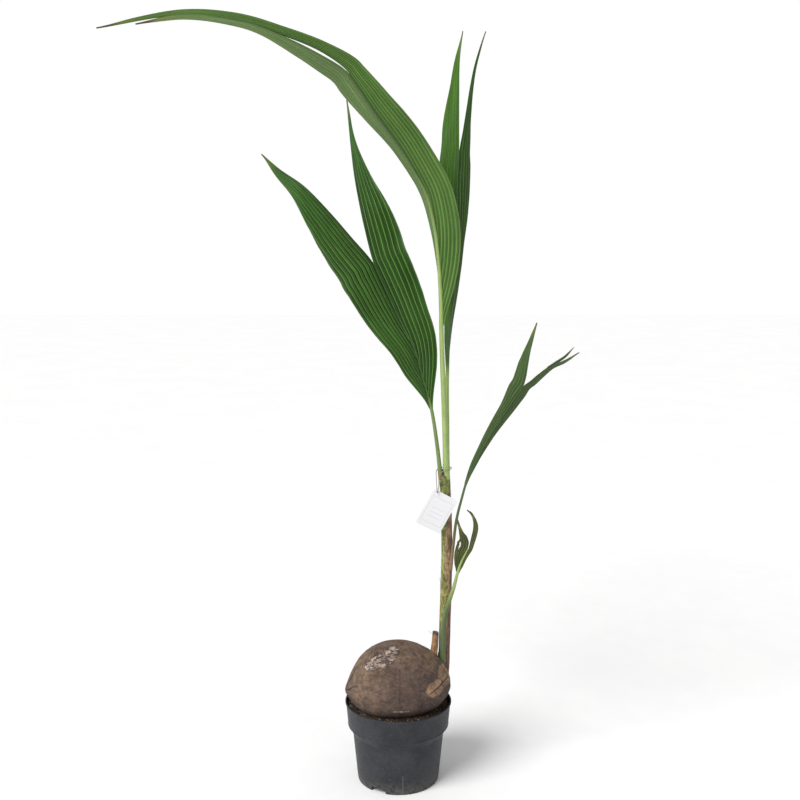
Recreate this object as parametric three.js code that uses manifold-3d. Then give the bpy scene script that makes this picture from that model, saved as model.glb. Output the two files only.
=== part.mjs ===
// A young coconut palm in its nursery pot: a sprouted husk, half sunk in potting mix, whose
// shoot stands up behind one end and carries five two-lobed leaves, with a blank card on a string.
// Millimetres, +Z up. The origin is the centre of the pot's flat underside, +X runs from the
// pointed end of the husk towards the shoot, and the front of the plant looks along -Y.
import * as THREE from "three";
import { mergeVertices } from "three/addons/utils/BufferGeometryUtils.js";
import Module from "manifold-3d";

const wasm = await Module();
wasm.setup();

const GAP = 0.35; // clearance between touching pieces

// A 19 cm nursery pot: tapering wall, a wide rim band on a sloping shoulder, a thin lip, and a
// thick flat base with drain notches in its edge. drainTurn is the first notch's share of a pitch.
const POT = {
  height: 146, baseRadius: 73, wallTopRadius: 81.7, bandHeight: 56, shoulder: 13,
  bandLowRadius: 90, bandTopRadius: 93.5, lipRadius: 95, lipHeight: 3, lipRound: 0.6, wall: 2.2,
  floor: 10.4, footRound: 1, sides: 56, drains: 3, drainTurn: 0.008, drainWidth: 29,
  drainHeight: 8, drainDepth: 26,
};
// Its surface dips a little at the wall, and shoulder is how wide that dip is.
const SOIL = { top: 131, crown: 3, shoulder: 3, drop: 2, level: 0.6, clear: 0.75, sides: 48 };

// The husk lies on its side; its own length runs along X, tilted up towards the shoot. height is
// that of its upper half, doubled, and under is how deep its lower half is beside that. ridge is
// the swell of its three faint ridges, and pinch and pinchPower draw in its pointed end.
const HUSK = {
  length: 188, width: 160, height: 163, under: 0.7, centre: [-1.5, -5, 171], tilt: 4,
  ridge: 0.035, pinch: 0.75, pinchPower: 6, endAngle: 0.08, rings: 22, sides: 32,
};

// The shoot: overlapping leaf bases rolled into one upright stem.
const STEM = {
  path: [[72, 18, 114], [77.5, 20.5, 152], [82.5, 22.5, 225], [84, 21.5, 295], [85.5, 20.5, 362],
    [86, 19, 430], [84, 17, 490], [81.5, 14.5, 547]],
  foot: 10.2, top: 9.2, sides: 16, steps: 16,
};
const STUB = {
  path: [[62, 8, 215], [65.5, 8, 245], [67, 8, 269]], foot: 7, top: 5.4, sides: 12, steps: 4,
};

// Each leaf is a petiole that runs on as the rib of its blade, as far as the fork, with one
// half blade on each side. rib is the petiole and rib together, blade is the share of it where
// the blade starts, and each half follows the rib to the fork and then its own tip points.
// A leaf that bends is split into ribPieces and pieces. widths are a half's widths from foot to
// tip, evenly spaced, and across are the directions in which it spreads from the rib.
const BLADE_THICKNESS = 1.6;
const LEAVES = {
  arching_leaf: {
    rib: [[84.5, 12, 548], [82, 11, 620], [78.5, 9, 700], [74.5, 5, 790], [72.5, 2, 862],
      [68.5, 0, 925], [61, -3, 985], [47, -8, 1038], [25, -15, 1078], [1, -22, 1116],
      [-33, -32, 1161], [-62, -40, 1203], [-84, -46, 1233]],
    foot: 5.4, end: 1.2, blade: 0.37, ribPieces: 3, pieces: 3,
    halves: {
      right: {
        tip: [[-124, -58, 1259], [-186, -74, 1282], [-246, -88, 1299], [-330, -104, 1305],
          [-459, -126, 1281]],
        widths: [2, 23, 38, 42, 41, 38, 27, 16.5, 12.3, 10, 7.3, 4.4, 1.6],
        across: [[0.95, -0.3, 0.1], [0.75, -0.3, 0.6], [0.1, -0.5, 0.9]],
      },
      left: {
        tip: [[-124, -60, 1256], [-186, -77, 1283], [-246, -90, 1302], [-330, -106, 1308],
          [-402, -118, 1291.5]],
        widths: [2, 16.6, 29, 34, 33, 33, 39.5, 36, 24, 12, 9, 6, 1.6],
        across: [[0.1, 1, 0], [-0.25, 0.95, 0], [-0.5, 0.6, -0.5], [-0.2, 0.3, -0.9]],
      },
    },
  },
  left_leaf: {
    rib: [[74.8, 11, 548], [68, 15, 608], [58, 24, 671], [44, 35, 722], [29.5, 45, 772],
      [3, 60, 824], [-22, 73, 876], [-45, 85, 925]],
    foot: 3.8, end: 0.9, blade: 0.31, ribPieces: 2, pieces: 3,
    halves: {
      left: {
        tip: [[-84, 98, 970], [-121, 110, 1012], [-168, 123, 1059], [-213, 135, 1090],
          [-245, 142, 1117]],
        widths: [2, 30, 48.5, 61, 68, 58, 41, 20, 1.6],
        across: [[-0.8, -0.5, -0.3], [-0.85, -0.3, -0.45], [-0.7, -0.2, -0.7]],
      },
      right: {
        tip: [[-62, 98, 990], [-71.5, 110, 1034], [-79, 120, 1076], [-84.5, 130, 1119],
          [-94, 151, 1215]],
        widths: [2, 31, 52, 62, 64, 53, 28, 7, 1.6],
        across: [[0.8, -0.5, 0.3], [0.85, -0.3, 0.4], [0.9, -0.2, 0.2]],
      },
    },
  },
  upright_leaf: {
    rib: [[86.5, 22.5, 548], [86, 24, 640], [87, 27, 722], [91, 31, 806], [97, 35, 872],
      [101.5, 39.5, 935], [102, 44.5, 985], [101.5, 49, 1030], [102, 53.5, 1070],
      [105, 58.5, 1117]],
    foot: 4.2, end: 0.9, blade: 0.3, ribPieces: 1, pieces: 1,
    halves: {
      left: {
        tip: [[105, 63, 1160], [105, 69, 1215], [106, 75, 1270], [111.5, 80, 1317]],
        widths: [2, 10, 22, 33, 40, 44, 38, 18, 1.6],
        across: [[-0.4, 0.9, 0], [-0.65, 0.75, 0], [-0.6, 0.8, 0]],
      },
      right: {
        tip: [[111, 61.5, 1150], [116.5, 65, 1184], [123, 70, 1224], [130, 74, 1258],
          [139.5, 78, 1290], [149, 81, 1317]],
        widths: [2, 6, 8, 12, 26, 28.5, 13.5, 5, 1.6],
        across: [[0.2, 0.98, 0], [0.7, 0.7, 0], [0.7, 0.7, 0.1], [0.7, 0.7, 0.1]],
      },
    },
  },
  right_leaf: {
    rib: [[92.5, 7, 384], [97, 4, 430], [102, 0, 477], [110, -6, 515], [121, -12, 556],
      [151, -20, 622], [177, -30, 667], [211, -45, 722]],
    foot: 3, end: 0.8, blade: 0.44, ribPieces: 2, pieces: 1,
    halves: {
      upper: {
        tip: [[215, -47, 738], [217, -49, 754], [220.5, -53, 780], [225, -57, 803],
          [230, -60, 828]],
        widths: [1.6, 3.2, 5.5, 9.2, 13, 21, 18, 7.5, 1.6],
        across: [[-0.7, 0.65, 0.25], [-0.75, 0.6, 0.25], [-0.8, 0.55, 0.1]],
      },
      lower: {
        tip: [[221.5, -46, 730], [233.5, -48, 741], [254, -53, 757], [273, -58, 765],
          [299, -62, 780]],
        widths: [1.6, 2.6, 5.9, 9.3, 12.9, 14.5, 11.9, 7, 1.6],
        across: [[0.65, 0.6, -0.4], [0.65, 0.6, -0.45], [0.5, 0.65, -0.6]],
      },
    },
  },
  low_leaf: {
    rib: [[79.5, 9.5, 212], [80.2, 9, 252], [80.5, 8.5, 277], [84, 8, 302], [92, 6, 332],
      [98.2, 3, 352.5], [104.5, -4, 382], [109.5, -8, 400], [117.5, -12, 420], [122, -13, 429]],
    foot: 5.2, end: 1.2, blade: 0.78, ribPieces: 1, pieces: 1,
    halves: {
      left: {
        tip: [[124, -14, 440], [122.5, -15, 447], [119.5, -16, 454], [115, -16, 459],
          [112, -16, 464.5], [109, -15, 471], [104.5, -13, 483]],
        widths: [2, 7, 13, 17, 18.5, 17, 8, 2.6, 1.6],
        across: [[-0.85, 0.35, 0.4], [-0.95, 0.25, 0.1], [-0.8, 0.4, -0.45]],
      },
      right: {
        tip: [[125, -14, 442], [127, -15, 452], [129.5, -16, 464], [130, -17, 476],
          [128, -18, 486], [124.5, -19, 493], [118, -20, 500]],
        widths: [1.6, 2.2, 3, 4.6, 6, 7, 6.4, 2.6, 1.6],
        across: [[0.85, -0.5, -0.35], [0.9, -0.4, 0], [0.7, -0.3, 0.65]],
      },
    },
  },
};

// A blank card, turned in its own plane, hanging from a loop round the three upper petioles.
const TAG = {
  width: 47, height: 69, thickness: 1, corner: 2, hole: 2.3, holeSides: 14, holeX: 9, holeY: 5,
  corner3d: [62.4, -5, 535], turn: -27.5, lean: 4,
};
const STRING = { radius: 0.7, sides: 6, steps: 56, top: 566 };

const COLOURS = {
  pot: [0x4b4f54, 0.55], soil: [0x2e211a, 1], husk: [0x6f5e52, 0.9], stem: [0x7a7040, 0.7],
  stub: [0x9a6a45, 0.8], petiole: [0x8ba558, 0.5], blade: [0x3f7a35, 0.45], tag: [0xf2f2f0, 0.6],
  string: [0x8a8478, 0.9],
};

const point = (p) => new THREE.Vector3(...p);
const group = new THREE.Group();

function add(name, geometry, look) {
  const [color, roughness] = COLOURS[look];
  const material = new THREE.MeshStandardMaterial({ color, roughness, metalness: 0 });
  const mesh = new THREE.Mesh(geometry, material);
  mesh.name = name;
  group.add(mesh);
  return mesh;
}

// The solid of a closed geometry, for cuts, and the geometry of a solid.
function solid(geometry) {
  const bare = new THREE.BufferGeometry().setAttribute("position", geometry.attributes.position);
  bare.setIndex(geometry.index);
  const merged = mergeVertices(bare, 1e-3);
  return new wasm.Manifold(new wasm.Mesh({
    numProp: 3,
    vertProperties: merged.attributes.position.array,
    triVerts: new Uint32Array(merged.index.array),
  }));
}

function geometryOf(manifold) {
  const mesh = manifold.getMesh();
  const geometry = new THREE.BufferGeometry();
  geometry.setAttribute("position", new THREE.BufferAttribute(mesh.vertProperties, 3));
  geometry.setIndex(new THREE.BufferAttribute(mesh.triVerts, 1));
  return geometry;
}

const cut = (geometry, ...tools) =>
  geometryOf(tools.reduce((rest, tool) => rest.subtract(solid(tool)), solid(geometry)));

// Rings of equal length, joined in order and capped at both ends, or joined round in a loop.
function skin(rings, loop = false) {
  const sides = rings[0].length;
  const points = rings.flat();
  const faces = [];
  const at = (i, j) => (i % rings.length) * sides + (j % sides);
  for (let i = 0; i < rings.length - (loop ? 0 : 1); i++)
    for (let j = 0; j < sides; j++)
      faces.push(at(i, j), at(i, j + 1), at(i + 1, j + 1), at(i, j), at(i + 1, j + 1), at(i + 1, j));
  if (!loop) {
    const last = rings.length - 1;
    for (const [ring, flip] of [[0, true], [last, false]]) {
      const hub = points.length;
      points.push(rings[ring].reduce((sum, p) => sum.add(p), new THREE.Vector3())
        .divideScalar(sides));
      for (let j = 0; j < sides; j++)
        faces.push(hub, at(ring, flip ? j + 1 : j), at(ring, flip ? j : j + 1));
    }
  }
  const geometry = new THREE.BufferGeometry().setFromPoints(points);
  geometry.setIndex(faces);
  return geometry;
}

// The rings of a tapering round limb along a curve; grow makes it fatter for use as a cutter.
function limbRings({ path, foot, top, sides, steps }, grow = 0) {
  const curve = new THREE.CatmullRomCurve3(path.map(point));
  const frames = curve.computeFrenetFrames(steps, false);
  const rings = [];
  for (let i = 0; i <= steps; i++) {
    const share = i / steps;
    const centre = curve.getPointAt(share);
    const radius = foot + (top - foot) * share + grow;
    rings.push(round(centre, frames.normals[i], frames.binormals[i], radius, sides));
  }
  return rings;
}

const limb = (shape, grow) => skin(limbRings(shape, grow));

// Consecutive runs of rings that meet in a shared ring, one run for each piece.
function runs(rings, pieces) {
  const each = Math.ceil((rings.length - 1) / pieces);
  return Array.from({ length: pieces }, (_, i) => rings.slice(i * each, (i + 1) * each + 1));
}

function round(centre, normal, binormal, radius, sides) {
  return Array.from({ length: sides }, (_, j) => {
    const angle = (j / sides) * 2 * Math.PI;
    return centre.clone()
      .addScaledVector(normal, radius * Math.cos(angle))
      .addScaledVector(binormal, radius * Math.sin(angle));
  });
}

// A profile of [radius, height] pairs, turned about Z.
function turned(profile, sides) {
  const lathe = new THREE.LatheGeometry(profile.map(([r, z]) => new THREE.Vector2(r, z)), sides);
  return lathe.rotateX(Math.PI / 2);
}

function makePot() {
  const { height, baseRadius, wallTopRadius, bandHeight, bandLowRadius, bandTopRadius } = POT;
  const { shoulder, lipRadius, lipHeight, lipRound, wall, floor, footRound, sides } = POT;
  const bandFoot = height - bandHeight;
  const lipFoot = height - lipHeight;
  const profile = [
    [0, 0], [baseRadius - footRound, 0], [baseRadius, footRound], [wallTopRadius, bandFoot],
    [bandLowRadius, bandFoot + shoulder], [bandTopRadius, lipFoot],
    [lipRadius, lipFoot + lipRound], [lipRadius, height - lipRound], [lipRadius - lipRound, height],
    [lipRadius - wall, height], [bandTopRadius - wall, lipFoot],
    [bandLowRadius - wall, bandFoot + shoulder], [wallTopRadius - wall, bandFoot],
    [baseRadius - wall, floor], [0, floor],
  ];
  const body = turned(profile, sides);
  const drains = Array.from({ length: POT.drains }, (_, i) => {
    const angle = ((i + POT.drainTurn) / POT.drains) * 2 * Math.PI;
    const box = new THREE.BoxGeometry(POT.drainDepth, POT.drainWidth, POT.drainHeight * 2);
    return box.translate(baseRadius - footRound, 0, 0).rotateZ(angle).toNonIndexed();
  });
  return cut(body, ...drains.map((box) => mergeVertices(stripped(box))));
}

function stripped(geometry) {
  return new THREE.BufferGeometry().setAttribute("position", geometry.attributes.position);
}

// The husk: a rounded, faintly three-sided body, drawn in to a blunt point at its far end.
function huskRings(grow) {
  const { length, width, height, under, rings, sides } = HUSK;
  const { ridge, pinch, pinchPower, endAngle } = HUSK;
  const made = [];
  for (let i = 0; i <= rings; i++) {
    const angle = (i / rings) * (Math.PI - 2 * endAngle) + endAngle;
    const along = -Math.cos(angle);
    const pointed = along < 0 ? Math.pow(-along, pinchPower) * (1 - pinch) : 0;
    const ring = [];
    for (let j = 0; j < sides; j++) {
      const turn = (j / sides) * 2 * Math.PI;
      const swell = 1 + ridge * Math.cos(3 * turn + Math.PI / 2);
      const reach = Math.sin(angle) * swell * (1 - pointed);
      const depth = (height / 2) * (Math.sin(turn) < 0 ? under : 1);
      ring.push(new THREE.Vector3(
        along * (length / 2 + grow),
        Math.cos(turn) * reach * (width / 2 + grow),
        Math.sin(turn) * reach * (depth + grow),
      ));
    }
    made.push(ring);
  }
  return made;
}

function makeHusk(grow = 0) {
  return skin(huskRings(grow))
    .rotateY(THREE.MathUtils.degToRad(-HUSK.tilt))
    .translate(...HUSK.centre);
}

function makeSoil() {
  const { baseRadius, wallTopRadius, bandHeight, bandLowRadius, bandTopRadius, height } = POT;
  const { top, crown, shoulder, drop, level, clear } = SOIL;
  const inset = POT.wall + clear;
  const bandFoot = height - bandHeight;
  const bandLow = bandFoot + POT.shoulder;
  const rise = (top - bandLow) / (height - POT.lipHeight - bandLow);
  const topRadius = bandLowRadius + (bandTopRadius - bandLowRadius) * rise - inset;
  const profile = [
    [0, POT.floor + GAP], [baseRadius - inset, POT.floor + GAP], [wallTopRadius - inset, bandFoot],
    [bandLowRadius - inset, bandLow], [topRadius, top - drop], [topRadius - shoulder, top],
    [topRadius * level, top + crown], [0, top + crown],
  ];
  return turned(profile, SOIL.sides);
}

// Half blades. The width runs smoothly through its values, which are spaced evenly from the
// blade's foot to its tip.
function widthAt(half, share) {
  const { widths } = half;
  const place = share * (widths.length - 1);
  const index = Math.min(Math.floor(place), widths.length - 2);
  const value = (i) => widths[Math.min(Math.max(i, 0), widths.length - 1)];
  const t = place - index;
  const [a, b, c, d] = [-1, 0, 1, 2].map((step) => value(index + step));
  return b + 0.5 * t * (c - a + t * (2 * a - 5 * b + 4 * c - d + t * (3 * (b - c) + d - a)));
}

function acrossAt(half, share) {
  const last = half.across.length - 1;
  const index = Math.min(Math.floor(share * last), last - 1);
  return point(half.across[index]).lerp(point(half.across[index + 1]), share * last - index);
}

const RIB_SIDES = 8;
const ribSteps = (leaf) => leaf.rib.length * 2;
const BLADE_STEPS = 27;
const BLADE_CLEAR = 1; // from the rib's side to the blade's edge

function halfBlade(leaf, half) {
  const rib = new THREE.CatmullRomCurve3(leaf.rib.map(point));
  const start = Array.from({ length: ribSteps(leaf) }, (_, i) =>
    rib.getPointAt(leaf.blade + ((1 - leaf.blade) * i) / (ribSteps(leaf) - 1)));
  const edge = new THREE.CatmullRomCurve3([...start, ...half.tip.map(point)]);
  const forkShare = rib.getLength() * (1 - leaf.blade) / edge.getLength();
  const sections = [];
  for (let i = 0; i <= BLADE_STEPS; i++) {
    const share = i / BLADE_STEPS;
    const inner = edge.getPointAt(share);
    const tangent = edge.getTangentAt(share);
    const across = acrossAt(half, share);
    across.addScaledVector(tangent, -across.dot(tangent)).normalize();
    const normal = new THREE.Vector3().crossVectors(across, tangent).normalize();
    const ribShare = Math.min(share / forkShare, 1);
    const ribRadius = ribRadiusAt(leaf, leaf.blade + (1 - leaf.blade) * ribShare);
    const offset = ribRadius + BLADE_CLEAR + BLADE_THICKNESS / 2;
    const width = widthAt(half, share);
    const lift = normal.multiplyScalar(BLADE_THICKNESS / 2);
    const near = inner.clone().addScaledVector(across, offset);
    const far = near.clone().addScaledVector(across, width);
    sections.push([
      near.clone().add(lift), far.clone().add(lift), far.clone().sub(lift), near.clone().sub(lift),
    ]);
  }
  return sections;
}

const ribRadiusAt = (leaf, share) => leaf.foot + (leaf.end - leaf.foot) * share;

// Adds the pieces of one limb or half blade, numbered where there are several.
function addRuns(name, rings, pieces, look, cutters) {
  runs(rings, pieces).forEach((run, i) => {
    const whole = skin(run);
    const suffix = pieces > 1 ? `_${i + 1}` : "";
    add(name + suffix, cutters.length ? cut(whole, ...cutters) : whole, look);
  });
}

function makeLeaf(name, leaf, cutters) {
  const petiole = limbRings({ path: leaf.rib, foot: leaf.foot, top: leaf.end, sides: RIB_SIDES,
    steps: ribSteps(leaf) });
  addRuns(`${name}_rib`, petiole, leaf.ribPieces, "petiole", cutters);
  for (const [side, half] of Object.entries(leaf.halves))
    addRuns(`${name}_${side}`, halfBlade(leaf, half), leaf.pieces, "blade", []);
}

function makeTag() {
  const { width, height, thickness, corner, hole, holeX, holeY } = TAG;
  const outline = new THREE.Shape();
  outline.moveTo(corner, 0).lineTo(width - corner, 0).quadraticCurveTo(width, 0, width, -corner)
    .lineTo(width, corner - height).quadraticCurveTo(width, -height, width - corner, -height)
    .lineTo(corner, -height).quadraticCurveTo(0, -height, 0, corner - height)
    .lineTo(0, -corner).quadraticCurveTo(0, 0, corner, 0);
  const rim = Array.from({ length: TAG.holeSides }, (_, i) => {
    const angle = (i / TAG.holeSides) * 2 * Math.PI;
    return new THREE.Vector2(holeX + hole * Math.cos(angle), -holeY + hole * Math.sin(angle));
  });
  outline.holes.push(new THREE.Path(rim));
  const card = new THREE.ExtrudeGeometry(outline, { depth: thickness, bevelEnabled: false,
    curveSegments: 6 });
  return card.rotateX(Math.PI / 2 + THREE.MathUtils.degToRad(TAG.lean))
    .rotateY(THREE.MathUtils.degToRad(-TAG.turn))
    .translate(...TAG.corner3d);
}

// The loop of string: through the card's hole, up, and round the three petioles.
function makeString(holeCentre) {
  const { x, y, z } = holeCentre;
  const top = STRING.top;
  const path = [
    [x, y - 3, z + 1], [x + 2.5, y - 1, z + 14], [72, 4.5, top - 8], [80, 4.2, top - 1],
    [89, 4.9, top], [92.8, 12.5, top + 1], [92.6, 23, top + 1], [87, 29.2, top + 1],
    [76, 25, top], [68.5, 18, top - 2], [66.5, 9, top - 5], [x - 1, y + 5, z + 16],
    [x, y + 3.5, z + 1],
  ];
  const curve = new THREE.CatmullRomCurve3(path.map(point), true);
  const frames = curve.computeFrenetFrames(STRING.steps, true);
  const rings = Array.from({ length: STRING.steps }, (_, i) => round(
    curve.getPointAt(i / STRING.steps), frames.normals[i], frames.binormals[i],
    STRING.radius, STRING.sides));
  return skin(rings, true);
}

const stem = limb(STEM);
const stemFat = limb(STEM, GAP);
const huskFat = makeHusk(GAP);
const stubFat = limb(STUB, GAP);

add("pot", makePot(), "pot");
add("potting_mix", cut(makeSoil(), huskFat, stemFat), "soil");
add("husk", makeHusk(), "husk");
add("stem", cut(stem, huskFat), "stem");
add("sheath_stub", cut(limb(STUB), huskFat, stemFat), "stub");
for (const [name, leaf] of Object.entries(LEAVES))
  makeLeaf(name, leaf, name === "right_leaf" || name === "low_leaf" ? [stemFat, huskFat] : []);
add("card", makeTag(), "tag");
const lean = THREE.MathUtils.degToRad(TAG.lean);
const turn = THREE.MathUtils.degToRad(-TAG.turn);
const hole = new THREE.Vector3(TAG.holeX, -TAG.holeY, TAG.thickness / 2)
  .applyAxisAngle(new THREE.Vector3(1, 0, 0), Math.PI / 2 + lean)
  .applyAxisAngle(new THREE.Vector3(0, 1, 0), turn)
  .add(point(TAG.corner3d));
add("card_string", makeString(hole), "string");

export default group;
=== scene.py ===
"""The looks of a young coconut palm in its nursery pot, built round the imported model's frame.

The design tables are in millimetres, as the part's own are. Meshes and materials are in metres,
+Z up, with the origin under the middle of the pot and the front of the plant looking along -Y.
"""
import math
import bmesh
import bpy
import numpy as np
from bpy.props import FloatProperty, FloatVectorProperty, IntProperty, PointerProperty
from mathutils import Matrix, Vector


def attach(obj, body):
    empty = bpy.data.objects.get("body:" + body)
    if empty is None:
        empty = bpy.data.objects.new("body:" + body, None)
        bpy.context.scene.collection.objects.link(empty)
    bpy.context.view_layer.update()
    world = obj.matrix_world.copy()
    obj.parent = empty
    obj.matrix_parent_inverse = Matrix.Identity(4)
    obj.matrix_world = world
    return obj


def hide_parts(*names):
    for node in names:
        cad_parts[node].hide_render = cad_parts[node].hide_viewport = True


bl_info = {
    "name": "Potted Coconut Palm",
    "version": (1, 0, 0),
    "blender": (4, 5, 0),
    "location": "3D View > Sidebar > Palm",
    "description": "Builds a sprouted coconut palm in a nursery pot, piece by piece",
    "category": "Add Mesh",
}

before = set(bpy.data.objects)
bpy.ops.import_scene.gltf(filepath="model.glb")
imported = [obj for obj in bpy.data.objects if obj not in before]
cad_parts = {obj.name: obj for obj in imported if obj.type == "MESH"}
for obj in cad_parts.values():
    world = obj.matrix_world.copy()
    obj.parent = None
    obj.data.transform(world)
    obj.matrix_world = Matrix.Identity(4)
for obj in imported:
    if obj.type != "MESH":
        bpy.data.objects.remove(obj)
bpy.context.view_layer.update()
MM = 0.001

# The shoot and the stub of its oldest leaf base: centre lines and radii.
STEM = {
    "path": [[72, 18, 114], [77.5, 20.5, 152], [82.5, 22.5, 225], [84, 21.5, 295],
             [85.5, 20.5, 362], [86, 19, 430], [84, 17, 490], [81.5, 14.5, 547]],
    "foot": 10.2, "top": 9.2, "mean": 9.5,
}
STUB = {"path": [[62, 8, 215], [65.5, 8, 245], [67, 8, 269]], "foot": 7, "top": 5.4,
        "colour": (0.3, 0.13, 0.05)}

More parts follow.
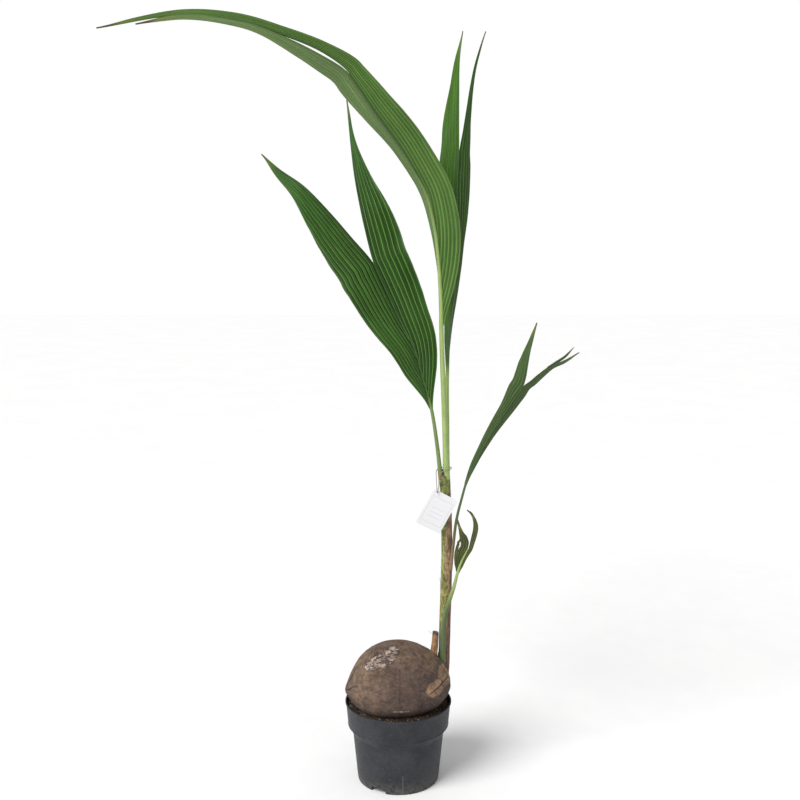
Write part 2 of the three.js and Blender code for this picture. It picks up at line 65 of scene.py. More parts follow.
# Each leaf: the line of its petiole and rib with the radii at foot and end, the share of it where
# the blade starts, the rows of points in a half blade, the turn of the rib's groove in degrees,
# and two half blades. A half follows the rib to the fork and then its tip points. widths run
# evenly from foot to tip, across are the directions it spreads in, pleats is how many folds it
# has, fold how deep they are against their width, camber how far the half bows, and front and
# back name its finishes. A slit is a fold's number and the shares it runs from and to. dried is
# the share of the petiole that is brown, dark how deep its green is, and greens the shares over
# which the rib turns as green as the blade.
LEAVES = {
    "arching_leaf": {
        "rib": [[84.5, 12, 548], [82, 11, 620], [78.5, 9, 700], [74.5, 5, 790], [72.5, 2, 862],
                [68.5, 0, 925], [61, -3, 985], [47, -8, 1038], [25, -15, 1078], [1, -22, 1116],
                [-33, -32, 1161], [-62, -40, 1203], [-84, -46, 1233]],
        "foot": 5.4, "end": 1.2, "blade": 0.37, "stations": 230, "groove": 200,
        "greens": (0.45, 0.85),
        "halves": {
            "right": {
                "tip": [[-124, -58, 1259], [-186, -74, 1282], [-246, -88, 1299],
                        [-330, -104, 1305], [-459, -126, 1281]],
                "widths": [2, 23, 38, 42, 41, 38, 27, 16.5, 12.3, 10, 7.3, 4.4, 1.6],
                "across": [[0.95, -0.3, 0.1], [0.75, -0.3, 0.6], [0.1, -0.5, 0.9]],
                "pleats": 8, "fold": 0.34, "camber": 0.07, "front": "mid", "back": "pale",
            },
            "left": {
                "tip": [[-124, -60, 1256], [-186, -77, 1283], [-246, -90, 1302],
                        [-330, -106, 1308], [-402, -118, 1291.5]],
                "widths": [2, 16.6, 29, 34, 33, 33, 39.5, 36, 24, 12, 9, 6, 1.6],
                "across": [[0.1, 1, 0], [-0.25, 0.95, 0], [-0.5, 0.6, -0.5], [-0.2, 0.3, -0.9]],
                "pleats": 6, "fold": 0.24, "camber": -0.05, "front": "pale", "back": "mid",
            },
        },
    },
    "left_leaf": {
        "rib": [[74.8, 11, 548], [68, 15, 608], [58, 24, 671], [44, 35, 722], [29.5, 45, 772],
                [3, 60, 824], [-22, 73, 876], [-45, 85, 925]],
        "foot": 3.8, "end": 0.9, "blade": 0.31, "stations": 190, "groove": 120,
        "dried": 0.04, "dark": 0.62,
        "halves": {
            "left": {
                "tip": [[-84, 98, 970], [-121, 110, 1012], [-168, 123, 1059],
                        [-213, 135, 1090], [-245, 142, 1117]],
                "widths": [2, 30, 48.5, 61, 68, 58, 41, 20, 1.6],
                "across": [[-0.8, -0.5, -0.3], [-0.85, -0.3, -0.45], [-0.7, -0.2, -0.7]],
                "pleats": 9, "fold": 0.44, "camber": -0.08, "front": "deep", "back": "pale",
            },
            "right": {
                "tip": [[-62, 98, 990], [-71.5, 110, 1034], [-79, 120, 1076],
                        [-84.5, 130, 1119], [-94, 151, 1215]],
                "widths": [2, 31, 52, 62, 64, 53, 28, 7, 1.6],
                "across": [[0.8, -0.5, 0.3], [0.85, -0.3, 0.4], [0.9, -0.2, 0.2]],
                "pleats": 7, "fold": 0.42, "camber": 0.08, "front": "deep", "back": "pale",
            },
        },
    },
    "upright_leaf": {
        "rib": [[86.5, 22.5, 548], [86, 24, 640], [85.5, 27, 722], [88.5, 31, 806], [96, 35, 872],
                [101.5, 39.5, 935], [102, 44.5, 985], [101.5, 49, 1030], [102, 53.5, 1070],
                [105, 58.5, 1117]],
        "foot": 4.2, "end": 0.9, "blade": 0.3, "stations": 200, "groove": 150,
        "halves": {
            "left": {
                "tip": [[105, 63, 1160], [105, 69, 1215], [106, 75, 1270], [111.5, 80, 1317]],
                "widths": [2, 10, 22, 33, 40, 44, 38, 18, 1.6],
                "across": [[-0.4, 0.9, 0], [-0.65, 0.75, 0], [-0.6, 0.8, 0]],
                "pleats": 6, "fold": 0.36, "camber": -0.06, "front": "bright", "back": "pale",
            },
            "right": {
                "tip": [[111, 61.5, 1150], [116.5, 65, 1184], [123, 70, 1224],
                        [130, 74, 1258], [139.5, 78, 1290], [149, 81, 1317]],
                "widths": [2, 6, 8, 12, 26, 28.5, 13.5, 5, 1.6],
                "across": [[0.2, 0.98, 0], [0.7, 0.7, 0], [0.7, 0.7, 0.1], [0.7, 0.7, 0.1]],
                "pleats": 5, "fold": 0.36, "camber": 0.06, "front": "deep", "back": "pale",
            },
        },
    },
    "right_leaf": {
        "rib": [[92.5, 7, 384], [97, 4, 430], [102, 0, 477], [110, -6, 515], [121, -12, 556],
                [151, -20, 622], [177, -30, 667], [211, -45, 722]],
        "foot": 3, "end": 0.8, "blade": 0.44, "stations": 130, "groove": 90,
        "dried": 0.25, "dark": 1.0,
        "halves": {
            "upper": {
                "tip": [[215, -47, 738], [217, -49, 754], [220.5, -53, 780], [225, -57, 803],
                        [230, -60, 828]],
                "widths": [1.6, 3.2, 5.5, 9.2, 13, 21, 18, 7.5, 1.6],
                "across": [[-0.7, 0.65, 0.25], [-0.75, 0.6, 0.25], [-0.8, 0.55, 0.1]],
                "pleats": 4, "fold": 0.34, "camber": -0.06, "front": "dull", "back": "pale",
            },
            "lower": {
                "tip": [[221.5, -46, 730], [233.5, -48, 741], [254, -53, 757], [273, -58, 765],
                        [299, -62, 780]],
                "widths": [1.6, 2.6, 5.9, 9.3, 12.9, 14.5, 11.9, 7, 1.6],
                "across": [[0.65, 0.6, -0.4], [0.65, 0.6, -0.45], [0.5, 0.65, -0.6]],
                "pleats": 4, "fold": 0.34, "camber": 0.06, "front": "dull", "back": "pale",
            },
        },
    },
    "low_leaf": {
        "rib": [[79.5, 9.5, 212], [80.2, 9, 252], [80.5, 8.5, 277], [84, 8, 302], [92, 6, 332],
                [98.2, 3, 352.5], [104.5, -4, 382], [109.5, -8, 400], [117.5, -12, 420],
                [122, -13, 429]],
        "foot": 5.2, "end": 1.2, "blade": 0.78, "stations": 150, "groove": 200, "taper": 1.7,
        "halves": {
            "left": {
                "tip": [[124, -14, 440], [122.5, -15, 447], [119.5, -16, 454], [115, -16, 459],
                        [112, -16, 464.5], [109, -15, 471], [104.5, -13, 483]],
                "widths": [2, 7, 13, 17, 18.5, 17, 8, 2.6, 1.6],
                "across": [[-0.85, 0.35, 0.4], [-0.95, 0.25, 0.1], [-0.8, 0.4, -0.45]],
                "pleats": 5, "fold": 0.36, "camber": -0.08, "front": "old", "back": "old",
                "slits": [(1, 0.36, 0.62)],
            },
            "right": {
                "tip": [[125, -14, 442], [127, -15, 452], [129.5, -16, 464], [130, -17, 476],
                        [128, -18, 486], [124.5, -19, 493], [118, -20, 500]],
                "widths": [1.6, 2.2, 3, 4.6, 6, 7, 6.4, 2.6, 1.6],
                "across": [[0.85, -0.5, -0.35], [0.9, -0.4, 0], [0.7, -0.3, 0.65]],
                "pleats": 3, "fold": 0.3, "camber": 0.06, "front": "old", "back": "old",
            },
        },
    },
}

# Blade finishes: the deep and light ground colours, the ridge lines and how strong they are, the
# roughness, and the share of the length from which the tip is brown.
BLADES = {
    "deep": {"deep": (0.01, 0.046, 0.003), "light": (0.036, 0.125, 0.01),
             "ridge": (0.17, 0.28, 0.06), "rough": 0.34, "ridges": 0.8, "brown": 0.975},
    "mid": {"deep": (0.04, 0.11, 0.012), "light": (0.125, 0.235, 0.045),
            "ridge": (0.2, 0.33, 0.09), "rough": 0.42, "ridges": 0.5, "brown": 0.955},
    "bright": {"deep": (0.025, 0.09, 0.003), "light": (0.06, 0.17, 0.006),
               "ridge": (0.14, 0.27, 0.03), "rough": 0.44, "ridges": 0.5, "brown": 0.975},
    "pale": {"deep": (0.09, 0.165, 0.045), "light": (0.18, 0.27, 0.095),
             "ridge": (0.28, 0.37, 0.15), "rough": 0.5, "ridges": 0.4, "brown": 0.955},
    "dull": {"deep": (0.03, 0.065, 0.014), "light": (0.075, 0.125, 0.034),
             "ridge": (0.18, 0.24, 0.09), "rough": 0.48, "ridges": 0.5, "brown": 0.96},
    "old": {"deep": (0.03, 0.042, 0.009), "light": (0.1, 0.108, 0.028),
            "ridge": (0.24, 0.24, 0.09), "rough": 0.6, "ridges": 0.45, "brown": 0.88},
}

# The card: its corner, lean and turn, and its hole, measured from that corner.
CARD = {"width": 47, "height": 69, "corner": 2, "hole": 2.3, "hole_x": 9, "hole_y": 5,
        "thickness": 0.5, "place": [62.4, -5, 535], "turn": -27.5, "lean": 4}
LOOP_TOP = 566  # the height at which the twine goes round the petioles
PLY_RADIUS = 0.4


def sizes():
    """The sizes and counts set in the sidebar."""
    return bpy.context.scene.palm_sizes


def mm(length):
    """A length set in the sidebar, in millimetres, rid of its rounding."""
    return round(length / MM, 3)


def colours():
    """The colours set in the sidebar."""
    return bpy.context.scene.palm_colours


# ---------------------------------------------------------------------------------- numbers

def hashed(cells, seed):
    """A steady number from 0 to 1 for each whole-numbered cell, mixed from its three numbers."""
    x, y, z = (cells[..., axis].astype(np.int64) for axis in range(3))
    mixed = (x * 374761393 + y * 668265263 + z * 1440662683 + seed * 144665) & 0xFFFFFFFF
    mixed = ((mixed ^ (mixed >> 13)) * 1274126177) & 0xFFFFFFFF
    return (mixed ^ (mixed >> 16)) / 0xFFFFFFFF


def rough_noise(points, scale, seed=0, octaves=1):
    """Smooth noise from -1 to 1 at each point; scale is in cells for each unit, on each axis."""
    place = np.asarray(points, float) * np.asarray(scale, float)
    total, weight, most = 0.0, 1.0, 0.0
    for octave in range(octaves):
        cell = np.floor(place)
        part = place - cell
        part = part * part * (3 - 2 * part)
        value = 0.0
        for corner in range(8):
            step = np.array([corner & 1, corner >> 1 & 1, corner >> 2 & 1])
            share = np.prod(np.where(step, part, 1 - part), axis=-1)
            value = value + share * hashed(cell + step, seed + octave)
        total = total + weight * (2 * value - 1)
        most += weight
        place, weight = place * 2.07, weight * 0.5
    return total / most


def ease(value, low, high):
    """0 up to low, 1 from high on, and smooth between them."""
    share = np.clip((np.asarray(value, float) - low) / (high - low), 0, 1)
    return share * share * (3 - 2 * share)


def unit(vectors):
    """The vectors at a length of one."""
    return vectors / np.maximum(np.linalg.norm(vectors, axis=-1, keepdims=True), 1e-12)


def full_turn(sides):
    """Evenly spaced angles once round."""
    return np.linspace(0, 2 * math.pi, sides, endpoint=False)


class Path:
    """A smooth curve through points, measured by its length."""

    FINE = 40  # steps between two given points

    def __init__(self, points, closed=False):
        given = np.asarray(points, float)
        if closed:
            given = np.vstack([given[-1:], given, given[:2]])
        else:
            given = np.vstack([2 * given[0] - given[1], given, 2 * given[-1] - given[-2]])
        knots = np.linalg.norm(np.diff(given, axis=0), axis=1) ** 0.5
        knots = np.concatenate([[0], np.cumsum(knots)])
        spans = [self.span(given[i - 1:i + 3], knots[i - 1:i + 3])
                 for i in range(1, len(given) - 2)]
        self.points = np.vstack(spans + [given[-2:-1]])
        steps = np.linalg.norm(np.diff(self.points, axis=0), axis=1)
        self.lengths = np.concatenate([[0], np.cumsum(steps)])
        self.length = self.lengths[-1]

    def span(self, p, t):
        """The curve between the middle two of four points p, whose knots are t."""
        s = np.linspace(t[1], t[2], self.FINE, endpoint=False)[:, None]
        a = [((t[i + 1] - s) * p[i] + (s - t[i]) * p[i + 1]) / (t[i + 1] - t[i]) for i in range(3)]
        b = [((t[i + 2] - s) * a[i] + (s - t[i]) * a[i + 1]) / (t[i + 2] - t[i]) for i in range(2)]
        return ((t[2] - s) * b[0] + (s - t[1]) * b[1]) / (t[2] - t[1])

    def at(self, shares):
        """Points at shares of the length."""
        where = np.asarray(shares, float) * self.length
        return np.stack([np.interp(where, self.lengths, self.points[:, k]) for k in range(3)], -1)

    def along(self, shares, step=0.002):
        """Directions at shares of the length, each taken over a step to either side."""
        shares = np.asarray(shares, float)
        ahead, behind = np.minimum(shares + step, 1), np.maximum(shares - step, 0)
        return unit(self.at(ahead) - self.at(behind))


def frames(points, facing):
    """Two side directions at each point of a line, carried along it without twisting."""
    tangents = unit(np.gradient(points, axis=0))
    side = np.asarray(facing, float)
    first = []
    for tangent in tangents:
        side = side - tangent * (side @ tangent)
        side = side / np.linalg.norm(side)
        first.append(side)
    first = np.array(first)
    return first, np.cross(tangents, first)


def swept(points, radii, sides, facing=(0, -1, 0)):
    """Rings of points round a line. radii is a number, one a ring, or one for each point."""
    first, second = frames(points, facing)
    turn = full_turn(sides)
    radii = np.broadcast_to(np.asarray(radii, float).reshape(len(np.atleast_1d(radii)), -1),
                            (len(points), sides))
    spoke = (first[:, None] * np.cos(turn)[None, :, None]
             + second[:, None] * np.sin(turn)[None, :, None])
    return points[:, None] + spoke * radii[..., None]


# ----------------------------------------------------------------------------------- meshes

def grid_faces(rows, columns, wrap=False):
    """Quads of a grid of rows of points, each row closed round where wrap is set."""
    row, column = np.meshgrid(np.arange(rows - 1), np.arange(columns if wrap else columns - 1),
                              indexing="ij")
    here, side = row * columns + column, row * columns + (column + 1) % columns
    return np.stack([here, side, side + columns, here + columns], -1).reshape(-1, 4)


def fan(ring, hub, flip=False):
    """Triangles from a ring of point numbers to one hub."""
    following = np.roll(ring, -1)
    pair = (following, ring) if flip else (ring, following)
    return np.stack([*pair, np.full(len(ring), hub)], -1)


def capped(rings):
    """Points and faces of a tube of rings, closed at both ends."""
    rows, sides = rings.shape[:2]
    points = np.vstack([rings.reshape(-1, 3), rings[0].mean(0), rings[-1].mean(0)])
    low, high = np.arange(sides), np.arange(sides) + (rows - 1) * sides
    faces = [grid_faces(rows, sides, wrap=True), fan(low, rows * sides, flip=True),
             fan(high, rows * sides + 1)]
    return points, faces


def joined(parts):
    """Several (points, faces) as one."""
    points, faces, start = [], [], 0
    for some_points, some_faces in parts:
        points.append(some_points)
        faces += [each + start for each in some_faces]
        start += len(some_points)
    return np.vstack(points), faces


def new_piece(name, points, faces, finishes, slots=None, smooth=True):
    """A mesh object in the scene. points are in metres."""
    mesh = bpy.data.meshes.new(name)
    faces = [each for each in faces if len(each)]
    corners = np.concatenate([each.ravel() for each in faces]).astype(np.int32)
    counts = np.concatenate([np.full(len(each), each.shape[1]) for each in faces])
    mesh.vertices.add(len(points))
    mesh.vertices.foreach_set("co", np.asarray(points, np.float32).ravel())
    mesh.loops.add(len(corners))
    mesh.loops.foreach_set("vertex_index", corners)
    mesh.polygons.add(len(counts))
    starts = np.concatenate([[0], np.cumsum(counts)[:-1]]).astype(np.int32)
    mesh.polygons.foreach_set("loop_start", starts)
    if slots is not None:
        mesh.polygons.foreach_set("material_index", np.asarray(slots, np.int32))
    mesh.polygons.foreach_set("use_smooth", np.broadcast_to(smooth, len(counts)).copy())
    mesh.update(calc_edges=True)
    for finish in finishes:
        mesh.materials.append(finish)
    piece = bpy.data.objects.new(name, mesh)
    bpy.context.scene.collection.objects.link(piece)
    return piece


def note(piece, name, values):
    """Keeps one number for each point, which the piece's material reads."""
    layer = piece.data.attributes.new(name, "FLOAT", "POINT")
    layer.data.foreach_set("value", np.asarray(values, np.float32).ravel())


def note_rings(piece, **numbers):
    """Keeps numbers for the points of capped rings; each end's middle takes its ring's first."""
    for name, values in numbers.items():
        note(piece, name, np.concatenate([values.ravel(), [values[0, 0], values[-1, 0]]]))


def place_piece(piece, slot, *nodes):
    """Puts a piece on the body and in place of the nodes that it stands for. slot is not used."""
    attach(piece, "root")
    if nodes:
        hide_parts(*nodes)


def nodes_of(stem):
    """The frame's nodes that are this piece, whole or in numbered runs."""
    return sorted(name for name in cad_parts
                  if name == stem
                  or name.startswith(stem + "_") and name[len(stem) + 1:].isdigit())


def strand(points, radius, sides=3):
    """One thin fibre that tapers to a third of its radius."""
    taper = np.linspace(1, 0.35, len(points)) * radius
    return capped(swept(np.asarray(points, float), taper, sides, facing=(0.3, -0.9, 0.2)))


def wandering(start, heading, length, steps, rng, bend):
    """A line that wanders from its heading as it goes."""
    points, heading = [np.asarray(start, float)], unit(np.asarray(heading, float))
    for _ in range(steps):
        heading = unit(heading + rng.normal(0, bend, 3))
        points.append(points[-1] + heading * length / steps)
    return np.array(points)


# -------------------------------------------------------------------------------- materials

class Net:
    """Short ways to add and join the nodes of one tree."""

    def __init__(self, tree):
        self.tree = tree

    def add(self, kind, wires=None, **settings):
        """A new node with its settings, and its inputs fed by name or number."""
        node = self.tree.nodes.new("ShaderNode" + kind)
        for name, value in settings.items():
            setattr(node, name, value)
        for name, value in (wires or {}).items():
            self.feed(node.inputs[name], value)
        return node

    def feed(self, socket, value):
        """Joins an output to a socket, or gives the socket a plain value."""
        if isinstance(value, bpy.types.NodeSocket):
            self.tree.links.new(value, socket)
        elif socket.type == "RGBA" and len(value) == 3:
            socket.default_value = (*value, 1)
        else:
            socket.default_value = value

    def math(self, operation, first, second=0.0, third=None):
        """One sum with two numbers or three."""
        wires = {0: first, 1: second}
        if third is not None:
            wires[2] = third
        return self.add("Math", wires, operation=operation).outputs[0]

    def times(self, first, second, more=None):
        """The product of two numbers, with more added to it where that is given."""
        if more is None:
            return self.math("MULTIPLY", first, second)
        return self.math("MULTIPLY_ADD", first, second, more)

    def vector(self, operation, first, second):
        """One sum with two vectors or colours."""
        return self.add("VectorMath", {0: first, 1: second}, operation=operation).outputs[0]

    def span(self, value, low, high, to_low=0.0, to_high=1.0):
        """value eased from between low and high to between to_low and to_high."""
        wires = {"Value": value, "From Min": low, "From Max": high, "To Min": to_low,
                 "To Max": to_high}
        return self.add("MapRange", wires, interpolation_type="SMOOTHSTEP").outputs[0]

    def mix(self, factor, first, second):
        """The first colour where the factor is 0, and the second where it is 1."""
        node = self.add("Mix", data_type="RGBA")
        for index, value in ((0, factor), (6, first), (7, second)):
            self.feed(node.inputs[index], value)
        return node.outputs[2]

    def over(self, colour, mask, share, tone):
        """colour with a tone laid over it where the mask is, by no more than a share."""
        return self.mix(self.times(mask, share), colour, tone)

    def noise(self, vector, scale, detail=4.0, roughness=0.55):
        """Cloudy noise about 0.5."""
        wires = {"Vector": vector, "Scale": scale, "Detail": detail, "Roughness": roughness}
        return self.add("TexNoise", wires).outputs["Fac"]

    def attribute(self, name):
        """The number that note() kept on the mesh."""
        return self.add("Attribute", attribute_name=name).outputs["Fac"]

    def effect(self, group, where=None, **values):
        """Places a shared effect; where feeds its Vector, and values its other inputs."""
        wires = values if where is None else {"Vector": where, **values}
        return self.add("Group", wires, node_tree=group()).outputs

    def bump(self, height, strength, distance):
        """A normal roughened by a height."""
        wires = {"Height": height, "Strength": strength, "Distance": distance}
        return self.add("Bump", wires).outputs[0]


SOCKETS = {"number": "NodeSocketFloat", "vector": "NodeSocketVector", "colour": "NodeSocketColor"}


def effect_group(name, inputs, outputs, build):
    """A shader node group that materials share. inputs are (name, kind, default) rows."""
    if name in bpy.data.node_groups:
        return bpy.data.node_groups[name]
    group = bpy.data.node_groups.new(name, "ShaderNodeTree")
    for label, kind, default in inputs:
        socket = group.interface.new_socket(label, in_out="INPUT", socket_type=SOCKETS[kind])
        if default is not None:
            socket.default_value = default
    for label, kind in outputs:
        group.interface.new_socket(label, in_out="OUTPUT", socket_type=SOCKETS[kind])
    entry, leave = group.nodes.new("NodeGroupInput"), group.nodes.new("NodeGroupOutput")
    net = Net(group)
    for label, value in build(net, entry.outputs).items():
        net.feed(leave.inputs[label], value)
    return group


def mottle():
    """Blotches of two sizes, as one mask, and the smaller ones alone."""
    def build(net, given):
        wide = net.noise(given["Vector"], given["Scale"], 3.0)
        fine = net.noise(given["Vector"], net.times(given["Scale"], 6.3), 5.0, 0.65)
        both = net.times(fine, 0.45, net.times(wide, 0.55))
        return {"Mask": net.span(both, 0.38, 0.62), "Fine": net.span(fine, 0.3, 0.7)}
    return effect_group("Mottle", [("Vector", "vector", None), ("Scale", "number", 40.0)],
                        [("Mask", "number"), ("Fine", "number")], build)


def grain():
    """Fibres that run one way: Stretch is the number of fibres to a metre on each axis."""
    def build(net, given):
        drawn = net.vector("MULTIPLY", given["Vector"], given["Stretch"])
        coarse = net.noise(drawn, 1.0, 3.0, 0.6)
        fine = net.noise(drawn, 3.7, 4.0, 0.7)
        both = net.times(fine, 0.5, net.times(coarse, 0.5))
        return {"Grain": net.span(both, 0.35, 0.65), "Height": both}
    return effect_group("Fibre Grain", [("Vector", "vector", None), ("Stretch", "vector", None)],
                        [("Grain", "number"), ("Height", "number")], build)


def patch():
    """One ragged patch about a centre, as a mask, with a thin line round its edge."""
    def build(net, given):
        away = net.vector("DIVIDE", net.vector("SUBTRACT", given["Vector"], given["Centre"]),
                          given["Size"])
        far = net.add("VectorMath", {0: away}, operation="LENGTH").outputs["Value"]
        torn = net.noise(given["Vector"], given["Scale"], 5.0, 0.6)
        reach = net.times(torn, given["Ragged"], far)
        edge = net.times(given["Ragged"], 0.5)
        reach = net.math("SUBTRACT", reach, edge)
        line = net.math("ABSOLUTE", net.math("SUBTRACT", reach, 1.0))
        return {"Mask": net.span(reach, 1.06, 0.9), "Edge": net.span(line, 0.16, 0.02)}
    rows = [("Vector", "vector", None), ("Centre", "vector", None), ("Size", "vector", None),
            ("Ragged", "number", 1.0), ("Scale", "number", 120.0)]
    return effect_group("Torn Patch", rows, [("Mask", "number"), ("Edge", "number")], build)


def specks():
    """Small separate flecks of uneven size, as a mask."""
    def build(net, given):
        cells = net.add("TexVoronoi", {"Vector": given["Vector"], "Scale": given["Scale"]})
        chance = net.math("GREATER_THAN", given["Share"],
                          net.add("SeparateColor", {0: cells.outputs["Color"]}).outputs[0])
        round_spot = net.span(cells.outputs["Distance"], 0.42, 0.22)
        return {"Mask": net.times(round_spot, chance)}
    rows = [("Vector", "vector", None), ("Scale", "number", 300.0), ("Share", "number", 0.2)]
    return effect_group("Specks", rows, [("Mask", "number")], build)


def pleat_lines():
    """Ridges, valleys and fine veins of a folded leaf, from the fold's phase, with masks for
    painted shade on one side of each pleat and on some whole pleats.
    """
    def build(net, given):
        phase = given["Phase"]
        near, vein = (
            net.math("ABSOLUTE", net.math("SUBTRACT", net.math("FRACT", value), 0.5))
            for value in (net.math("ADD", phase, 100.5), net.times(phase, 4.0)))
        # Painted shade: one side of every pleat is darker, and some whole pleats are darker at
        # random.
        side = net.span(net.math("FRACT", net.math("ADD", phase, 100.0)), 0.44, 0.56)
        pleat_shade = net.add("TexWhiteNoise", {"W": net.math("FLOOR", net.math("ADD", phase, 0.5))},
                         noise_dimensions="1D").outputs["Value"]
        kept = {"Ridge": net.span(near, 0.085, 0.02), "Valley": net.span(near, 0.36, 0.48),
                "Veins": net.span(vein, 0.16, 0.44), "Side": side, "PleatShade": pleat_shade}
        return {name: net.times(mask, given["Fade"]) for name, mask in kept.items()}
    outputs = [("Ridge", "number"), ("Valley", "number"), ("Veins", "number"),
               ("Side", "number"), ("PleatShade", "number")]
    rows = [("Phase", "number", 0.0), ("Fade", "number", 1.0)]
    return effect_group("Pleat Lines", rows, outputs, build)


def new_finish(name):
    """An empty material: its net, its Principled shader and its object coordinates."""
    material = bpy.data.materials.new(name)
    material.use_nodes = True
    material.node_tree.nodes.clear()
    net = Net(material.node_tree)
    shader = net.add("BsdfPrincipled")
    leave = net.add("OutputMaterial")
    net.tree.links.new(shader.outputs[0], leave.inputs[0])
    return material, net, shader, net.add("TexCoord").outputs["Object"]


def set_shader(net, shader, **wires):
    """Feeds the shader's sockets, each named with _ for its spaces."""
    for name, value in wires.items():
        net.feed(shader.inputs[name.replace("_", " ")], value)


def pot_plastic():
    """Slate plastic with fine level scuffs, dust, soil at its foot, a scratch and a painted
    highlight down the front of its band.
    """
    material, net, shader, where = new_finish("pot_plastic")
    blotch = net.effect(mottle, where, Scale=22.0)
    scuffs = net.effect(grain, where, Stretch=(90.0, 90.0, 620.0))
    dust = net.effect(specks, where, Scale=420.0, Share=0.04)
    height = net.add("SeparateXYZ", {0: where}).outputs["Z"]
    low = net.span(height, 0.03, 0.0)
    scratch = net.effect(patch, where, Centre=(0.008, -0.075, 0.022), Size=(0.0007, 0.02, 0.017),
                         Ragged=1.2, Scale=160.0)
    # Painted highlight: a narrow, lighter patch down the front of the band.
    band_highlight = net.effect(patch, where, Centre=(0.008, -0.0905, 0.118), Size=(0.0045, 0.03, 0.014),
                      Ragged=0.5, Scale=60.0)
    colour = net.mix(blotch["Mask"], tuple(colours().pot), (0.033, 0.036, 0.041))
    colour = net.over(colour, scuffs["Grain"], 0.07, (0.07, 0.075, 0.08))
    colour = net.over(colour, band_highlight["Mask"], 0.16, (0.03, 0.034, 0.036))
    colour = net.over(colour, scratch["Mask"], 0.35, (0.2, 0.2, 0.19))
    soiled = net.times(net.times(low, blotch["Fine"]), 0.5)
    colour = net.mix(soiled, colour, (0.16, 0.14, 0.12))
    colour = net.over(colour, dust["Mask"], 0.3, (0.2, 0.19, 0.17))
    relief = net.times(scuffs["Height"], 0.4, blotch["Fine"])
    set_shader(net, shader, Base_Color=colour,
               Roughness=net.span(blotch["Fine"], 0.0, 1.0, 0.44, 0.6), Specular_IOR_Level=0.24,
               Normal=net.bump(relief, 0.25, 0.0004))
    return material


def peat(name, dark, light, rough):
    """Crumbly peat or bark, blotched from a dark colour to a light one."""
    material, net, shader, where = new_finish(name)
    blotch = net.effect(mottle, where, Scale=160.0)
    colour = net.mix(blotch["Mask"], dark, light)
    set_shader(net, shader, Base_Color=colour,
               Roughness=net.span(blotch["Fine"], 0.0, 1.0, rough, 1.0),
               Normal=net.bump(blotch["Fine"], 0.8, 0.0012))
    return material


# Centres and half sizes, in metres, of the tan patches where the husk's skin has worn through.
BARE_PATCHES = (((0.0786, -0.04, 0.209), (0.0095, 0.05, 0.0125)),
                ((0.0645, -0.052, 0.19), (0.017, 0.05, 0.0135)),
                ((0.088, -0.03, 0.197), (0.012, 0.05, 0.014)))


